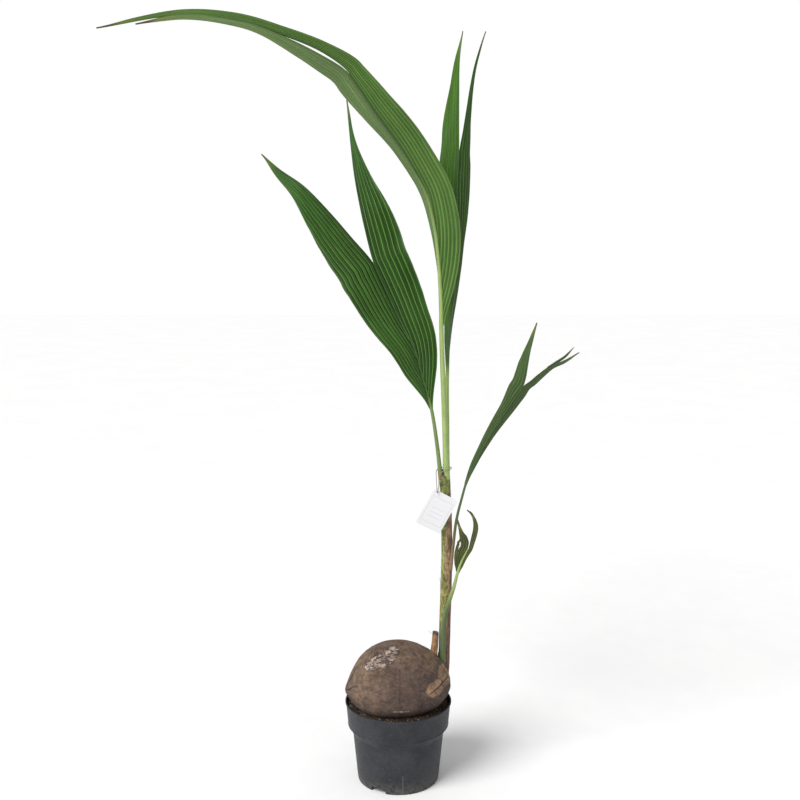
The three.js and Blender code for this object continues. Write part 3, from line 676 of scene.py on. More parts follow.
def husk_fibre():
    """Weathered husk: lengthwise fibre, blotches, a flaky scuff, bare tan patches, cracks darkened
    with painted shade, painted light on its left end and top, and painted shade towards its
    underside.
    """
    material, net, shader, where = new_finish("husk_fibre")
    grey, brown, tan = (tuple(c) for c in (colours().husk_grey, colours().husk_brown,
                                           colours().husk_tan))
    blotch = net.effect(mottle, where, Scale=26.0)
    cloud = net.effect(mottle, where, Scale=9.0)
    fibre = net.effect(grain, where, Stretch=(60.0, 420.0, 420.0))
    colour = net.mix(blotch["Mask"], brown, grey)
    colour = net.over(colour, cloud["Mask"], 0.4, (0.125, 0.082, 0.057))
    colour = net.over(colour, fibre["Grain"], 0.55, (0.026, 0.017, 0.013))
    streaks = net.effect(grain, where, Stretch=(24.0, 150.0, 150.0))
    colour = net.over(colour, streaks["Grain"], 0.4, (0.03, 0.02, 0.017))
    grime = net.effect(mottle, where, Scale=95.0)
    colour = net.over(colour, grime["Mask"], 0.3, (0.17, 0.125, 0.095))
    place = net.add("SeparateXYZ", {0: where})
    # Painted light, with some wear: the left end and the top are lightened towards tan, as where
    # the main light falls.
    left = net.span(place.outputs["X"], 0.0, -0.075)
    high = net.span(place.outputs["Z"], 0.212, 0.245)
    wear_and_painted_light = net.math("MAXIMUM", net.times(left, 0.8), net.times(high, 0.5))
    colour = net.over(colour, wear_and_painted_light, net.times(blotch["Fine"], 0.6, 0.3), (0.26, 0.19, 0.125))
    # Painted shade: the husk darkens towards its underside.
    low = net.span(place.outputs["Z"], 0.195, 0.14)
    colour = net.over(colour, low, 0.75, (0.028, 0.018, 0.015))
    seam = net.effect(patch, where, Centre=(0.0035, -0.075, 0.18), Size=(0.0028, 0.04, 0.04),
                      Ragged=2.2, Scale=90.0)
    colour = net.over(colour, seam["Mask"], 0.35, (0.04, 0.028, 0.026))
    dot = net.effect(patch, where, Centre=(0.003, -0.065, 0.225), Size=(0.0014, 0.02, 0.0016),
                     Ragged=0.6, Scale=200.0)
    colour = net.over(colour, dot["Mask"], 0.8, (0.02, 0.014, 0.012))
    for centre, size in BARE_PATCHES:
        bare = net.effect(patch, where, Centre=centre, Size=size, Ragged=0.8, Scale=95.0)
        tanned = net.mix(net.times(fibre["Grain"], 0.5), tan, (0.17, 0.11, 0.065))
        colour = net.over(colour, bare["Mask"], 0.9, tanned)
        colour = net.over(colour, bare["Edge"], 0.45, (0.05, 0.032, 0.02))
    moss = net.effect(patch, where, Centre=(0.055, -0.02, 0.23), Size=(0.016, 0.03, 0.012),
                      Ragged=1.3, Scale=110.0)
    mossy = net.times(moss["Mask"], net.times(grime["Fine"], 0.5, 0.15))
    colour = net.mix(mossy, colour, (0.22, 0.17, 0.085))
    scuff = net.attribute("scuff")
    flakes = net.noise(net.vector("MULTIPLY", where, (110.0, 200.0, 240.0)), 1.0, 6.0, 0.75)
    dark = net.times(net.span(scuff, 0.12, 0.5), 0.75)
    colour = net.mix(dark, colour, (0.055, 0.043, 0.04))
    ragged = net.times(net.span(scuff, 0.2, 1.0), 0.14, flakes)
    white = net.times(net.span(scuff, 0.25, 0.5), net.span(ragged, 0.6, 0.66))
    colour = net.over(colour, white, 0.9, (0.47, 0.41, 0.36))
    # Painted shade: the crack and the wrinkle valleys are darkened.
    shaded_crack = net.attribute("shaded_crack")
    colour = net.over(colour, net.span(shaded_crack, 0.25, 0.8), 0.85, (0.035, 0.024, 0.018))
    streak = net.effect(patch, where, Centre=(0.004, -0.084, 0.1605), Size=(0.013, 0.03, 0.0009),
                        Ragged=3.6, Scale=260.0)
    colour = net.over(colour, streak["Mask"], 0.6, (0.5, 0.44, 0.4))
    spots = net.effect(specks, where, Scale=230.0, Share=0.13)
    colour = net.over(colour, spots["Mask"], 0.55, (0.05, 0.036, 0.03))
    cast = net.noise(net.vector("MULTIPLY", where, (62.0, 75.0, 75.0)), 1.0, 8.0, 0.82)
    colour = net.vector("MULTIPLY", colour, net.span(cast, 0.36, 0.64, 0.5, 1.4))
    colour = net.vector("MULTIPLY", colour, (0.9, 0.79, 0.75))
    relief = net.times(fibre["Height"], 1.1, net.times(cast, 1.2, net.times(white, 0.6)))
    set_shader(net, shader, Base_Color=colour,
               Roughness=net.span(blotch["Fine"], 0.0, 1.0, 0.72, 0.95),
               Normal=net.bump(relief, 0.75, 0.0012))
    return material


def sheath_skin(name, tan):
    """Leaf bases round the shoot: green, dry tan or red-brown, by the numbers on the mesh."""
    material, net, shader, where = new_finish(name)
    red = tuple(colours().sheath_red)
    fibre = net.effect(grain, where, Stretch=(520.0, 520.0, 26.0))
    blotch = net.effect(mottle, where, Scale=75.0)
    green = net.mix(blotch["Mask"], (0.11, 0.15, 0.03), (0.27, 0.29, 0.08))
    dry = net.mix(fibre["Grain"], tan, (0.17, 0.098, 0.048))
    dry = net.over(dry, blotch["Mask"], 0.35, (0.44, 0.32, 0.19))
    rusty = net.mix(fibre["Grain"], red, (0.12, 0.055, 0.035))
    colour = net.mix(net.span(net.attribute("dry"), 0.35, 0.65), green, dry)
    colour = net.mix(net.span(net.attribute("red"), 0.2, 0.8), colour, rusty)
    low = net.attribute("flaky")
    spots = net.effect(specks, where, Scale=330.0, Share=net.times(low, 0.3, 0.16))
    colour = net.over(colour, spots["Mask"], 0.6, (0.07, 0.035, 0.015))
    rust = net.times(blotch["Fine"], net.times(low, 0.55))
    colour = net.mix(rust, colour, (0.3, 0.17, 0.05))
    pale = net.effect(specks, where, Scale=260.0, Share=0.1)
    flaky = net.times(pale["Mask"], net.span(low, 0.2, 0.8))
    colour = net.over(colour, flaky, 0.8, (0.55, 0.47, 0.33))
    colour = net.over(colour, net.attribute("shade"), 0.85, (0.035, 0.02, 0.012))
    cast = net.noise(net.vector("MULTIPLY", where, (230.0, 230.0, 95.0)), 1.0, 6.0, 0.75)
    colour = net.vector("MULTIPLY", colour, net.span(cast, 0.36, 0.64, 0.5, 1.45))
    relief = net.math("ADD", fibre["Height"], net.times(blotch["Fine"], 0.3))
    set_shader(net, shader, Base_Color=colour,
               Roughness=net.span(fibre["Grain"], 0.0, 1.0, 0.55, 0.8),
               Normal=net.bump(relief, 0.6, 0.0008))
    return material


def stalk_skin():
    """Petiole and rib: fine grooves, pale speckle, and brown where the old base dries."""
    material, net, shader, where = new_finish("stalk_skin")
    along, around = net.attribute("along"), net.attribute("around")
    lines = net.add("CombineXYZ", {"X": net.times(around, 26.0),
                                   "Y": net.times(along, 14.0)}).outputs[0]
    streak = net.noise(lines, 1.0, 4.0, 0.6)
    blotch = net.effect(mottle, where, Scale=60.0)
    colour = net.mix(net.span(streak, 0.35, 0.65), tuple(colours().stalk), (0.36, 0.46, 0.15))
    colour = net.over(colour, blotch["Mask"], 0.35, (0.17, 0.27, 0.07))
    deep = net.attribute("deep")
    colour = net.over(colour, deep, 0.92, (0.038, 0.068, 0.015))
    leafy = net.times(net.attribute("leafy"), net.span(streak, 0.3, 0.6, 0.85, 1.0))
    colour = net.mix(leafy, colour, (0.024, 0.07, 0.007))
    spots = net.effect(specks, where, Scale=300.0, Share=0.06)
    colour = net.over(colour, spots["Mask"], 0.5, (0.12, 0.07, 0.03))
    dried = net.times(net.attribute("dry"), net.span(blotch["Fine"], 0.1, 0.7, 0.5, 1.0))
    colour = net.mix(dried, colour, (0.24, 0.13, 0.06))
    set_shader(net, shader, Base_Color=colour, Roughness=net.span(streak, 0.3, 0.7, 0.36, 0.5),
               Coat_Weight=0.12, Coat_Roughness=0.3, Normal=net.bump(streak, 0.4, 0.0006))
    return material


def blade_skin(kind):
    """A pleated blade's skin: ridge lines, veins, blotches, painted shade on the pleats, in the
    valleys and beside the rib, and a brown edge and tip.
    """
    look = BLADES[kind]
    material, net, shader, where = new_finish("blade_" + kind)
    phase, along, across = (net.attribute(name) for name in ("phase", "along", "across"))
    lines = net.effect(pleat_lines, Phase=phase, Fade=net.span(along, 0.55, 0.95, 1.0, 0.15))
    flow = net.add("CombineXYZ", {"X": net.times(phase, 2.2), "Y": net.times(along, 9.0),
                                  "Z": 3.0}).outputs[0]
    streak = net.noise(flow, 1.0, 5.0, 0.62)
    blotch = net.effect(mottle, where, Scale=45.0)
    colour = net.mix(net.span(streak, 0.36, 0.64), look["deep"], look["light"])
    colour = net.over(colour, blotch["Mask"], 0.25, look["light"])
    colour = net.over(colour, lines["Veins"], 0.08, look["ridge"])
    shade = tuple(0.4 * part for part in look["deep"])
    # Painted shade on one side of every pleat and on some whole pleats.
    colour = net.over(colour, lines["Side"], 0.4, look["deep"])
    colour = net.over(colour, lines["PleatShade"], 0.45, look["deep"])
    # Painted shade in the pleat valleys and in the strip beside the rib, as their shadow.
    rib_shadow = net.times(net.span(across, 0.3, 0.02), 0.45)
    dark = net.math("MAXIMUM", net.times(lines["Valley"], 0.75), rib_shadow)
    colour = net.mix(dark, colour, shade)
    colour = net.over(colour, lines["Ridge"], look["ridges"], look["ridge"])
    torn = net.times(streak, 0.05, net.math("SUBTRACT", along, 0.025))
    edge = net.span(net.times(streak, 0.02, across), 0.985, 1.01)
    tip = net.span(torn, look["brown"], look["brown"] + 0.022)
    yellow = net.span(torn, look["brown"] - 0.06, look["brown"])
    colour = net.over(colour, yellow, 0.35, (0.22, 0.22, 0.05))
    brown = net.math("MAXIMUM", net.times(tip, 0.9), net.times(edge, 0.5))
    colour = net.mix(brown, colour, net.mix(blotch["Fine"], (0.055, 0.036, 0.018),
                                            (0.125, 0.082, 0.042)))
    relief = net.times(lines["Veins"], 0.5, streak)
    rough = net.span(streak, 0.3, 0.7, look["rough"] - 0.05, look["rough"] + 0.1)
    set_shader(net, shader, Base_Color=colour, Roughness=net.times(brown, 0.3, rough),
               Specular_IOR_Level=0.3, Normal=net.bump(relief, 0.2, 0.0004))
    return material


def card_paper():
    """White card stock with a plain ruled frame and three ruled lines."""
    material, net, shader, where = new_finish("card_paper")
    place = net.add("SeparateXYZ", {0: where})
    width, height = CARD["width"] * MM, CARD["height"] * MM
    side = net.math("ABSOLUTE", net.math("SUBTRACT", place.outputs["X"], width / 2))
    down = net.math("ABSOLUTE", net.math("ADD", place.outputs["Y"], height / 2))
    inset, rule, gap = 0.0045, 0.00022, 0.0085  # the frame's inset, a line's half width, spacing
    past = net.math("MAXIMUM", net.math("SUBTRACT", side, width / 2 - inset),
                    net.math("SUBTRACT", down, height / 2 - inset - 0.006))
    border = net.span(net.math("ABSOLUTE", past), rule * 1.8, rule)
    rules = border
    for step in (-1, 0, 1):
        level = -height * 0.55 - step * gap
        line = net.span(net.math("ABSOLUTE", net.math("SUBTRACT", place.outputs["Y"], level)),
                        rule * 1.8, rule)
        line = net.times(line, net.math("LESS_THAN", side, width / 2 - 0.011))
        rules = net.math("MAXIMUM", rules, line)
    pulp = net.effect(mottle, where, Scale=700.0)
    colour = net.mix(pulp["Mask"], (0.66, 0.66, 0.675), (0.72, 0.72, 0.73))
    colour = net.over(colour, rules, 0.5, (0.3, 0.3, 0.3))
    set_shader(net, shader, Base_Color=colour,
               Roughness=net.span(pulp["Fine"], 0.0, 1.0, 0.6, 0.75),
               Normal=net.bump(pulp["Fine"], 0.2, 0.0001))
    return material


def twine_fibre(name, dark, light):
    """Dull plant fibre, for twine and for loose hairs."""
    material, net, shader, where = new_finish(name)
    strands = net.effect(grain, where, Stretch=(1500.0, 1500.0, 900.0))
    colour = net.mix(strands["Grain"], dark, light)
    set_shader(net, shader, Base_Color=colour,
               Roughness=net.span(strands["Grain"], 0.0, 1.0, 0.75, 0.95),
               Normal=net.bump(strands["Height"], 0.6, 0.0003))
    return material


def floor_paint():
    """The pale floor's matt paint."""
    material, net, shader, where = new_finish("floor_paint")
    blotch = net.effect(mottle, where, Scale=3.0)
    colour = net.mix(blotch["Mask"], (0.9, 0.9, 0.9), (0.92, 0.92, 0.915))
    set_shader(net, shader, Base_Color=colour,
               Roughness=net.span(blotch["Fine"], 0.0, 1.0, 0.6, 0.7))
    return material


# --------------------------------------------------------------------------------- the pot

# The pot in millimetres: radii of its base, wall and band, and the heights and sizes of its parts.
POT = {"height": 146, "base": 73, "wall_top": 81.7, "band_height": 56, "shoulder": 13,
       "band_low": 90, "band_top": 93.5, "lip": 95, "lip_height": 3, "wall": 2.2, "floor": 10.4,
       "drains": 3, "drain_turn": 0.008, "drain_width": 29, "drain_height": 8,
       "drain_depth": 26}


def pot_profile():
    """Radius and height pairs, up the outside, over the lip and down the inside."""
    top, wall, lip_foot = POT["height"], POT["wall"], POT["height"] - POT["lip_height"]
    band_foot = top - POT["band_height"]
    band_low = band_foot + POT["shoulder"]
    outside = [(POT["base"] - 2.4, 0), (POT["base"] - 1.1, 0.25), (POT["base"] - 0.3, 0.9),
               (POT["base"], 1.9)]
    for share in np.linspace(0.08, 0.97, 12):
        outside.append((POT["base"] + (POT["wall_top"] - POT["base"]) * share, band_foot * share))
    slope = [(POT["wall_top"] + 0.2, band_foot), (POT["wall_top"] + 1.2, band_foot + 1.6)]
    slope += [(POT["wall_top"] + 4.4, band_foot + 6.4), (POT["band_low"] - 0.9, band_low - 1.4)]
    slope += [(POT["band_low"] + 0.35, band_low - 0.4), (POT["band_low"] + 0.55, band_low + 0.5),
              (POT["band_low"] + 0.1, band_low + 1.3)]
    for share in np.linspace(0.08, 0.97, 7):
        slope.append((POT["band_low"] + (POT["band_top"] - POT["band_low"]) * share,
                      band_low + (lip_foot - band_low) * share))
    lip = [(POT["lip"] - 0.5, lip_foot), (POT["lip"], lip_foot + 0.6), (POT["lip"], top - 0.7),
           (POT["lip"] - 0.25, top - 0.2), (POT["lip"] - 0.7, top), (POT["lip"] - 1.8, top),
           (POT["lip"] - wall - 0.1, top - 0.3), (POT["lip"] - wall - 0.6, lip_foot + 0.6)]
    inside = [(r - wall, z) for r, z in reversed(outside[3:] + slope)]
    inside[-1] = (POT["base"] - wall, POT["floor"])
    return outside + slope + lip + inside


def make_pot():
    """The pot, a little out of round at its top, with the drain notches cut in its foot."""
    profile = np.array(pot_profile()) * MM
    sides = sizes().pot_sides
    turn = full_turn(sides)
    rings = np.stack([profile[:, :1] * np.cos(turn), profile[:, :1] * np.sin(turn),
                      np.broadcast_to(profile[:, 1:], (len(profile), sides))], -1)
    wobble = 1 + 0.0035 * ease(profile[:, 1], 0.05, 0.146)[:, None] * np.cos(2 * turn + 0.6)
    rings[..., :2] *= wobble[..., None]
    points, faces = capped(rings)
    body = new_piece("pot_body", points, faces, [pot_plastic()])
    cutters = []
    for index in range(POT["drains"]):
        bm = bmesh.new()
        bmesh.ops.create_cube(bm, size=1)
        bmesh.ops.bevel(bm, geom=bm.edges[:], offset=0.08, segments=2, affect="EDGES")
        size = Vector((POT["drain_depth"], POT["drain_width"], POT["drain_height"] * 2)) * MM
        turned = Matrix.Rotation((index + POT["drain_turn"]) / POT["drains"] * 2 * math.pi, 4, "Z")
        shift = Matrix.Translation(((POT["base"] - 1) * MM, 0, 0))
        bm.transform(turned @ shift @ Matrix.Diagonal((*size, 1)))
        mesh = bpy.data.meshes.new("drain_cutter")
        bm.to_mesh(mesh)
        bm.free()
        cutters.append(bpy.data.objects.new("drain_cutter", mesh))
        bpy.context.scene.collection.objects.link(cutters[-1])
        cut = body.modifiers.new("drain", "BOOLEAN")
        cut.object, cut.operation, cut.solver = cutters[-1], "DIFFERENCE", "EXACT"
    bake_modifiers(body)
    body.data.set_sharp_from_angle(angle=math.radians(38))
    for cutter in cutters:
        bpy.data.objects.remove(cutter)
    place_piece(body, "pot", "pot")


def bake_modifiers(piece):
    """Puts the mesh that the modifiers give in place of the piece's own, without them."""
    graph = bpy.context.evaluated_depsgraph_get()
    mesh = bpy.data.meshes.new_from_object(piece.evaluated_get(graph), depsgraph=graph)
    piece.modifiers.clear()
    piece.data = mesh


# ---------------------------------------------------------------------------- husk and soil

# The husk in millimetres and degrees: three ridges run round it, under flattens its lower side,
# and pinch and pinch_power draw out its pointed end. end_angle is where each end cap starts.
HUSK = {"length": 188, "width": 160, "height": 163, "under": 0.6, "centre": [-1.5, -5, 171],
        "tilt": 4, "ridge": 0.035, "pinch": 0.18, "pinch_power": 6.9, "end_angle": 0.08}


def husk_points(angle, turn, grow=0.0):
    """Points of the husk at angles from its pointed end and turns round its length, in mm."""
    along = -np.cos(angle)
    pointed = np.where(along < 0, np.abs(along) ** HUSK["pinch_power"], 0) * (1 - HUSK["pinch"])
    swell = 1 + HUSK["ridge"] * np.cos(3 * turn + math.pi / 2)
    reach = np.sin(angle) * swell * (1 - pointed)
    x = along * (mm(sizes().husk_length) / 2 + grow)
    y = np.cos(turn) * reach * (mm(sizes().husk_width) / 2 + grow)
    half = HUSK["height"] / 2 * np.where(np.sin(turn) < 0, HUSK["under"], 1)
    z = np.sin(turn) * reach * (half + grow)
    tilt = math.radians(HUSK["tilt"])
    tipped = np.stack([x * math.cos(tilt) - z * math.sin(tilt), y,
                       x * math.sin(tilt) + z * math.cos(tilt)], -1)
    return tipped + np.array(HUSK["centre"])


def oval(points, centre, size, slant=0.0):
    """How far each point lies from an oval's middle, in front view; 1 is its edge."""
    x, z = points[..., 0] - centre[0], points[..., 2] - centre[1]
    turned_x = x * math.cos(slant) + z * math.sin(slant)
    turned_z = z * math.cos(slant) - x * math.sin(slant)
    return np.hypot(turned_x / size[0], turned_z / size[1])


def husk_relief(points, angle, turn):
    """How far the husk's surface stands out, in mm, its scuff mask, and the mask of the crack and
    the wrinkle valleys, which the finish darkens as painted shade.
    """
    front = ease(-points[..., 1], -5, 25)
    spread = np.stack([angle * 2.0, np.cos(turn) * 5, np.sin(turn) * 5], -1)
    # Dents and lumps, and fibres that run along it.
    lift = 1.5 * rough_noise(points, [0.022, 0.03, 0.03], 3, 2)
    lift = lift + 0.4 * rough_noise(points, [0.09, 0.12, 0.12], 5, 3)
    lift = lift + 0.42 * rough_noise(spread, [2.0, 6.0, 6.0], 7, 3) * ease(np.sin(angle), 0, 0.5)
    lift = lift + 0.22 * rough_noise(spread, [5.0, 17.0, 17.0], 11, 2)
    # Wrinkles gathered at the pointed end, and fewer at the blunt one.
    tip = np.exp(-((angle / 0.72) ** 2))
    waver = rough_noise(points, 0.05, 13, 2)
    wrinkle = np.abs(np.sin(turn * 4.5 + 0.5 * waver + 0.7))
    lift = lift + 2.6 * tip * (wrinkle ** 0.6 - 0.62) * ease(angle, 0.05, 0.3)
    butt = np.exp(-(((math.pi - angle) / 0.42) ** 2))
    lift = lift + 1.5 * butt * (np.abs(np.sin(turn * 3.5 + 2 * waver)) ** 0.7 - 0.5)
    # A shallow seam down the middle of the front.
    seam = np.exp(-((points[..., 0] - 3.5 + 2 * waver) / 1.7) ** 2) * front
    lift = lift - 0.35 * seam * ease(points[..., 2], 130, 150) * ease(points[..., 2], 232, 214)
    # The flaky scuff along the upper left.
    torn = 0.4 * rough_noise(points, 0.16, 17, 3)
    scuff = front * ease(oval(points, (-29, 237), (33, 9), 0.46) + torn, 1.25, 0.75)
    flakes = rough_noise(points, [0.11, 0.2, 0.28], 19, 4)
    lift = lift + scuff * (1.3 * np.maximum(flakes, -0.1) + 0.25)
    # A sloping crack at the right, with a raised lip above it.
    bend = points[..., 2] - (186.5 + 0.42 * (points[..., 0] - 60) + 1.3 * waver)
    reach = ease(points[..., 0], 50, 60)
    shaded_crack = front * reach * np.exp(-((bend / 1.1) ** 2))
    lift = lift - 1.8 * shaded_crack + 1.2 * front * reach * np.exp(-(((bend - 3.4) / 2.4) ** 2))
    far = ease(angle, 0.05, 0.25) * ease(angle, 1.05, 0.45)
    # The wrinkle valleys at the pointed end join the crack's mask, and both are darkened as painted
    # shade.
    shaded_crack = np.maximum(shaded_crack, far * ease(wrinkle, 0.6, 0.15))
    return lift, scuff, shaded_crack


def make_husk():
    """The husk's body with its relief, and its loose fibres."""
    rows, sides = sizes().husk_rings, sizes().husk_sides
    angle = np.linspace(HUSK["end_angle"], math.pi - HUSK["end_angle"], rows)[:, None]
    turn = full_turn(sides)[None, :]
    angle, turn = np.broadcast_arrays(angle, turn)
    base = husk_points(angle, turn)
    across = np.roll(base, -1, 1) - np.roll(base, 1, 1)
    outward = unit(np.cross(across, np.gradient(base, axis=0)))
    outward *= np.sign(np.sum(outward * (base - np.array(HUSK["centre"])), -1, keepdims=True))
    lift, scuff, shaded_crack = husk_relief(base, angle, turn)
    points, faces = capped((base + outward * lift[..., None]) * MM)
    body = new_piece("husk_body", points, [each[:, ::-1] for each in faces], [husk_fibre()])
    for name, values in (("scuff", scuff), ("shaded_crack", shaded_crack)):
        note(body, name, np.concatenate([values.ravel(), [0, 0]]))
    place_piece(body, "husk", "husk")
    make_husk_hairs()


# Where the husk's loose fibres start: the share of them up to and in each zone, and its range of
# angles from the pointed end and of turns. The zones are the scuff, both ends, and the body.
ROUND = (0, 2 * math.pi)
HAIR_ZONES = ((0.3, (1.0, 1.5), (1.9, 2.5)), (0.55, (0.1, 0.5), ROUND), (0.75, (2.6, 3.0), ROUND),
              (1.0, (0.5, 2.6), ROUND))


def make_husk_hairs():
    """Loose fibres: along the scuff, at both ends, and a few stray ones round the body."""
    rng = np.random.default_rng(41)
    hairs = []
    for _ in range(sizes().husk_hairs):
        place = rng.random()
        number = next(k for k, zone in enumerate(HAIR_ZONES) if place < zone[0])
        angle = rng.uniform(*HAIR_ZONES[number][1])
        if number == 0:
            rng.random()  # one draw more in the scuff, which keeps every later fibre in place
        turn = rng.uniform(*HAIR_ZONES[number][2])
        start = husk_points(np.array(angle), np.array(turn), 0.4)
        ahead = husk_points(np.array(angle + 0.05), np.array(turn + rng.normal(0, 0.03)), 0.6)
        outward = unit(start - np.array(HUSK["centre"]))
        heading = unit(ahead - start) + outward * rng.uniform(0.0, 0.22)
        length = rng.uniform(4, 11)
        hairs.append(strand(wandering(start, heading, length, 6, rng, 0.12) * MM, 0.13 * MM))
    points, faces = joined(hairs)
    piece = new_piece("husk_hairs", points, faces,
                      [twine_fibre("husk_hair", (0.12, 0.08, 0.05), (0.3, 0.23, 0.16))])
    place_piece(piece, "husk")


def inner_radius(height):
    """The pot's inner radius at a height above the shoulder, in mm."""
    band_low = POT["height"] - POT["band_height"] + POT["shoulder"]
    share = (height - band_low) / (POT["height"] - POT["lip_height"] - band_low)
    return POT["band_low"] + (POT["band_top"] - POT["band_low"]) * share - POT["wall"]


SOIL_TOP = 139  # the usual height of the soil's surface, in mm
CRUMB_SHARES = (0.56, 0.29, 0.1, 0.05)  # how many of the crumbs have each of the four finishes


def soil_height(x, y):
    """The soil's surface at a place, in mm: level, banked a little against the husk."""
    flat = np.stack([x, y, np.zeros_like(x)], -1)
    lumps = 1.7 * rough_noise(flat, 0.07, 23, 3) + 0.8 * rough_noise(flat, 0.4, 29, 2)
    bank = 4.0 * ease(np.hypot(x + 1.5, (y + 5) * 1.15), 95, 78)
    return mm(sizes().soil_level) - 1.5 + lumps + bank


def make_soil():
    """The bed of soil, a ring of open ground round the husk, with crumbs and fibres on it."""
    rows, sides, hidden, gap = 46, 260, 40, 0.3
    wall = inner_radius(mm(sizes().soil_level)) - gap
    radius = np.linspace(hidden, wall, rows)[:, None]
    turn = full_turn(sides)[None, :]
    x, y = radius * np.cos(turn), radius * np.sin(turn)
    top = np.stack([x, y, soil_height(x, y)], -1)
    underside = ((0.995, 118.0), (0.98, 106.0), (0.5, 104.0))  # shares of the radius, and heights
    skirt = [np.stack([x[-1] * share, y[-1] * share, np.full(sides, level)], -1)
             for share, level in underside]
    rings = np.concatenate([top, np.array(skirt)])
    points, faces = capped(rings * MM)
    finishes = [peat("peat", (0.012, 0.008, 0.006), (0.045, 0.026, 0.016), 0.85)]
    bed = new_piece("soil_bed", points, faces, finishes)
    place_piece(bed, "potting_mix", "potting_mix")
    make_crumbs(wall)
    make_soil_fibres(wall)


def soil_spot(rng, wall):
    """A random place on the open soil, between the husk and the pot's wall, in mm."""
    while True:
        turn, radius = rng.uniform(0, 2 * math.pi), wall * math.sqrt(rng.uniform(0.45, 0.97))
        x, y = radius * math.cos(turn), radius * math.sin(turn)
        if math.hypot((x + 4) / 80, (y + 5) / 68) > 0.97:
            return x, y


def make_crumbs(wall):
    """Lumps of peat and bark, as uneven little stones in four colours."""
    rng = np.random.default_rng(7)
    bm = bmesh.new()
    bmesh.ops.create_icosphere(bm, subdivisions=1, radius=1)
    shape = np.array([v.co[:] for v in bm.verts])
    sides = np.array([[v.index for v in f.verts] for f in bm.faces])
    bm.free()
    parts, kinds = [], []
    for _ in range(sizes().crumbs):
        x, y = soil_spot(rng, wall - 1.5)
        z = float(soil_height(np.array(x), np.array(y)))
        size = rng.uniform(0.5, 1.0) ** 2 * 2.3 * rng.uniform(0.7, 1.25, 3)
        turned = np.array(Matrix.Rotation(rng.uniform(0, 6.28), 3, Vector(rng.normal(0, 1, 3))))
        lump = shape * (1 + rng.normal(0, 0.16, (len(shape), 1))) * size
        parts.append(((lump @ turned.T + [x, y, z + size.min() * 0.25]) * MM, [sides]))
        kinds += [int(rng.choice(4, p=CRUMB_SHARES))] * len(sides)
    points, faces = joined(parts)
    finishes = [peat("crumb_black", (0.01, 0.007, 0.005), (0.03, 0.02, 0.014), 0.85),
                peat("crumb_brown", (0.04, 0.022, 0.012), (0.085, 0.05, 0.028), 0.85),
                peat("crumb_rust", (0.08, 0.037, 0.016), (0.15, 0.075, 0.032), 0.8),
                peat("crumb_pale", (0.24, 0.17, 0.1), (0.34, 0.26, 0.17), 0.8)]
    piece = new_piece("soil_crumbs", points, faces, finishes, slots=kinds, smooth=False)
    place_piece(piece, "potting_mix")


def make_soil_fibres(wall):
    """Short coir fibres that lie on the soil, kept inside the pot's wall."""
    rng = np.random.default_rng(19)
    parts = []
    for _ in range(sizes().soil_fibres):
        x, y = soil_spot(rng, wall - 4)
        z = float(soil_height(np.array(x), np.array(y))) + rng.uniform(0.2, 1.5)
        heading = [rng.normal(), rng.normal(), rng.uniform(-0.1, 0.25)]
        line = wandering([x, y, z], heading, rng.uniform(3, 11), 6, rng, 0.25)
        away = np.hypot(line[:, 0], line[:, 1])
        line[:, :2] *= np.minimum(1, (wall - 0.8) / away)[:, None]
        parts.append(strand(line * MM, rng.uniform(0.12, 0.3) * MM))
    points, faces = joined(parts)
    piece = new_piece("soil_fibres", points, faces,
                      [twine_fibre("coir_fibre", (0.13, 0.055, 0.02), (0.34, 0.17, 0.07))])
    place_piece(piece, "potting_mix")


# ------------------------------------------------------------------------------- the shoot

# Where the dry sheath's edge lies across the front of the shoot, from -1 at its left side to 1
# at its right, against height in mm.
SHEATH_EDGE = [(110, -1.3), (225, -1.1), (262, -0.4), (300, 0.0), (345, 0.45), (358, 0.35),
               (364, -0.4), (430, -0.35), (462, -0.1), (485, 0.65), (560, 0.75)]


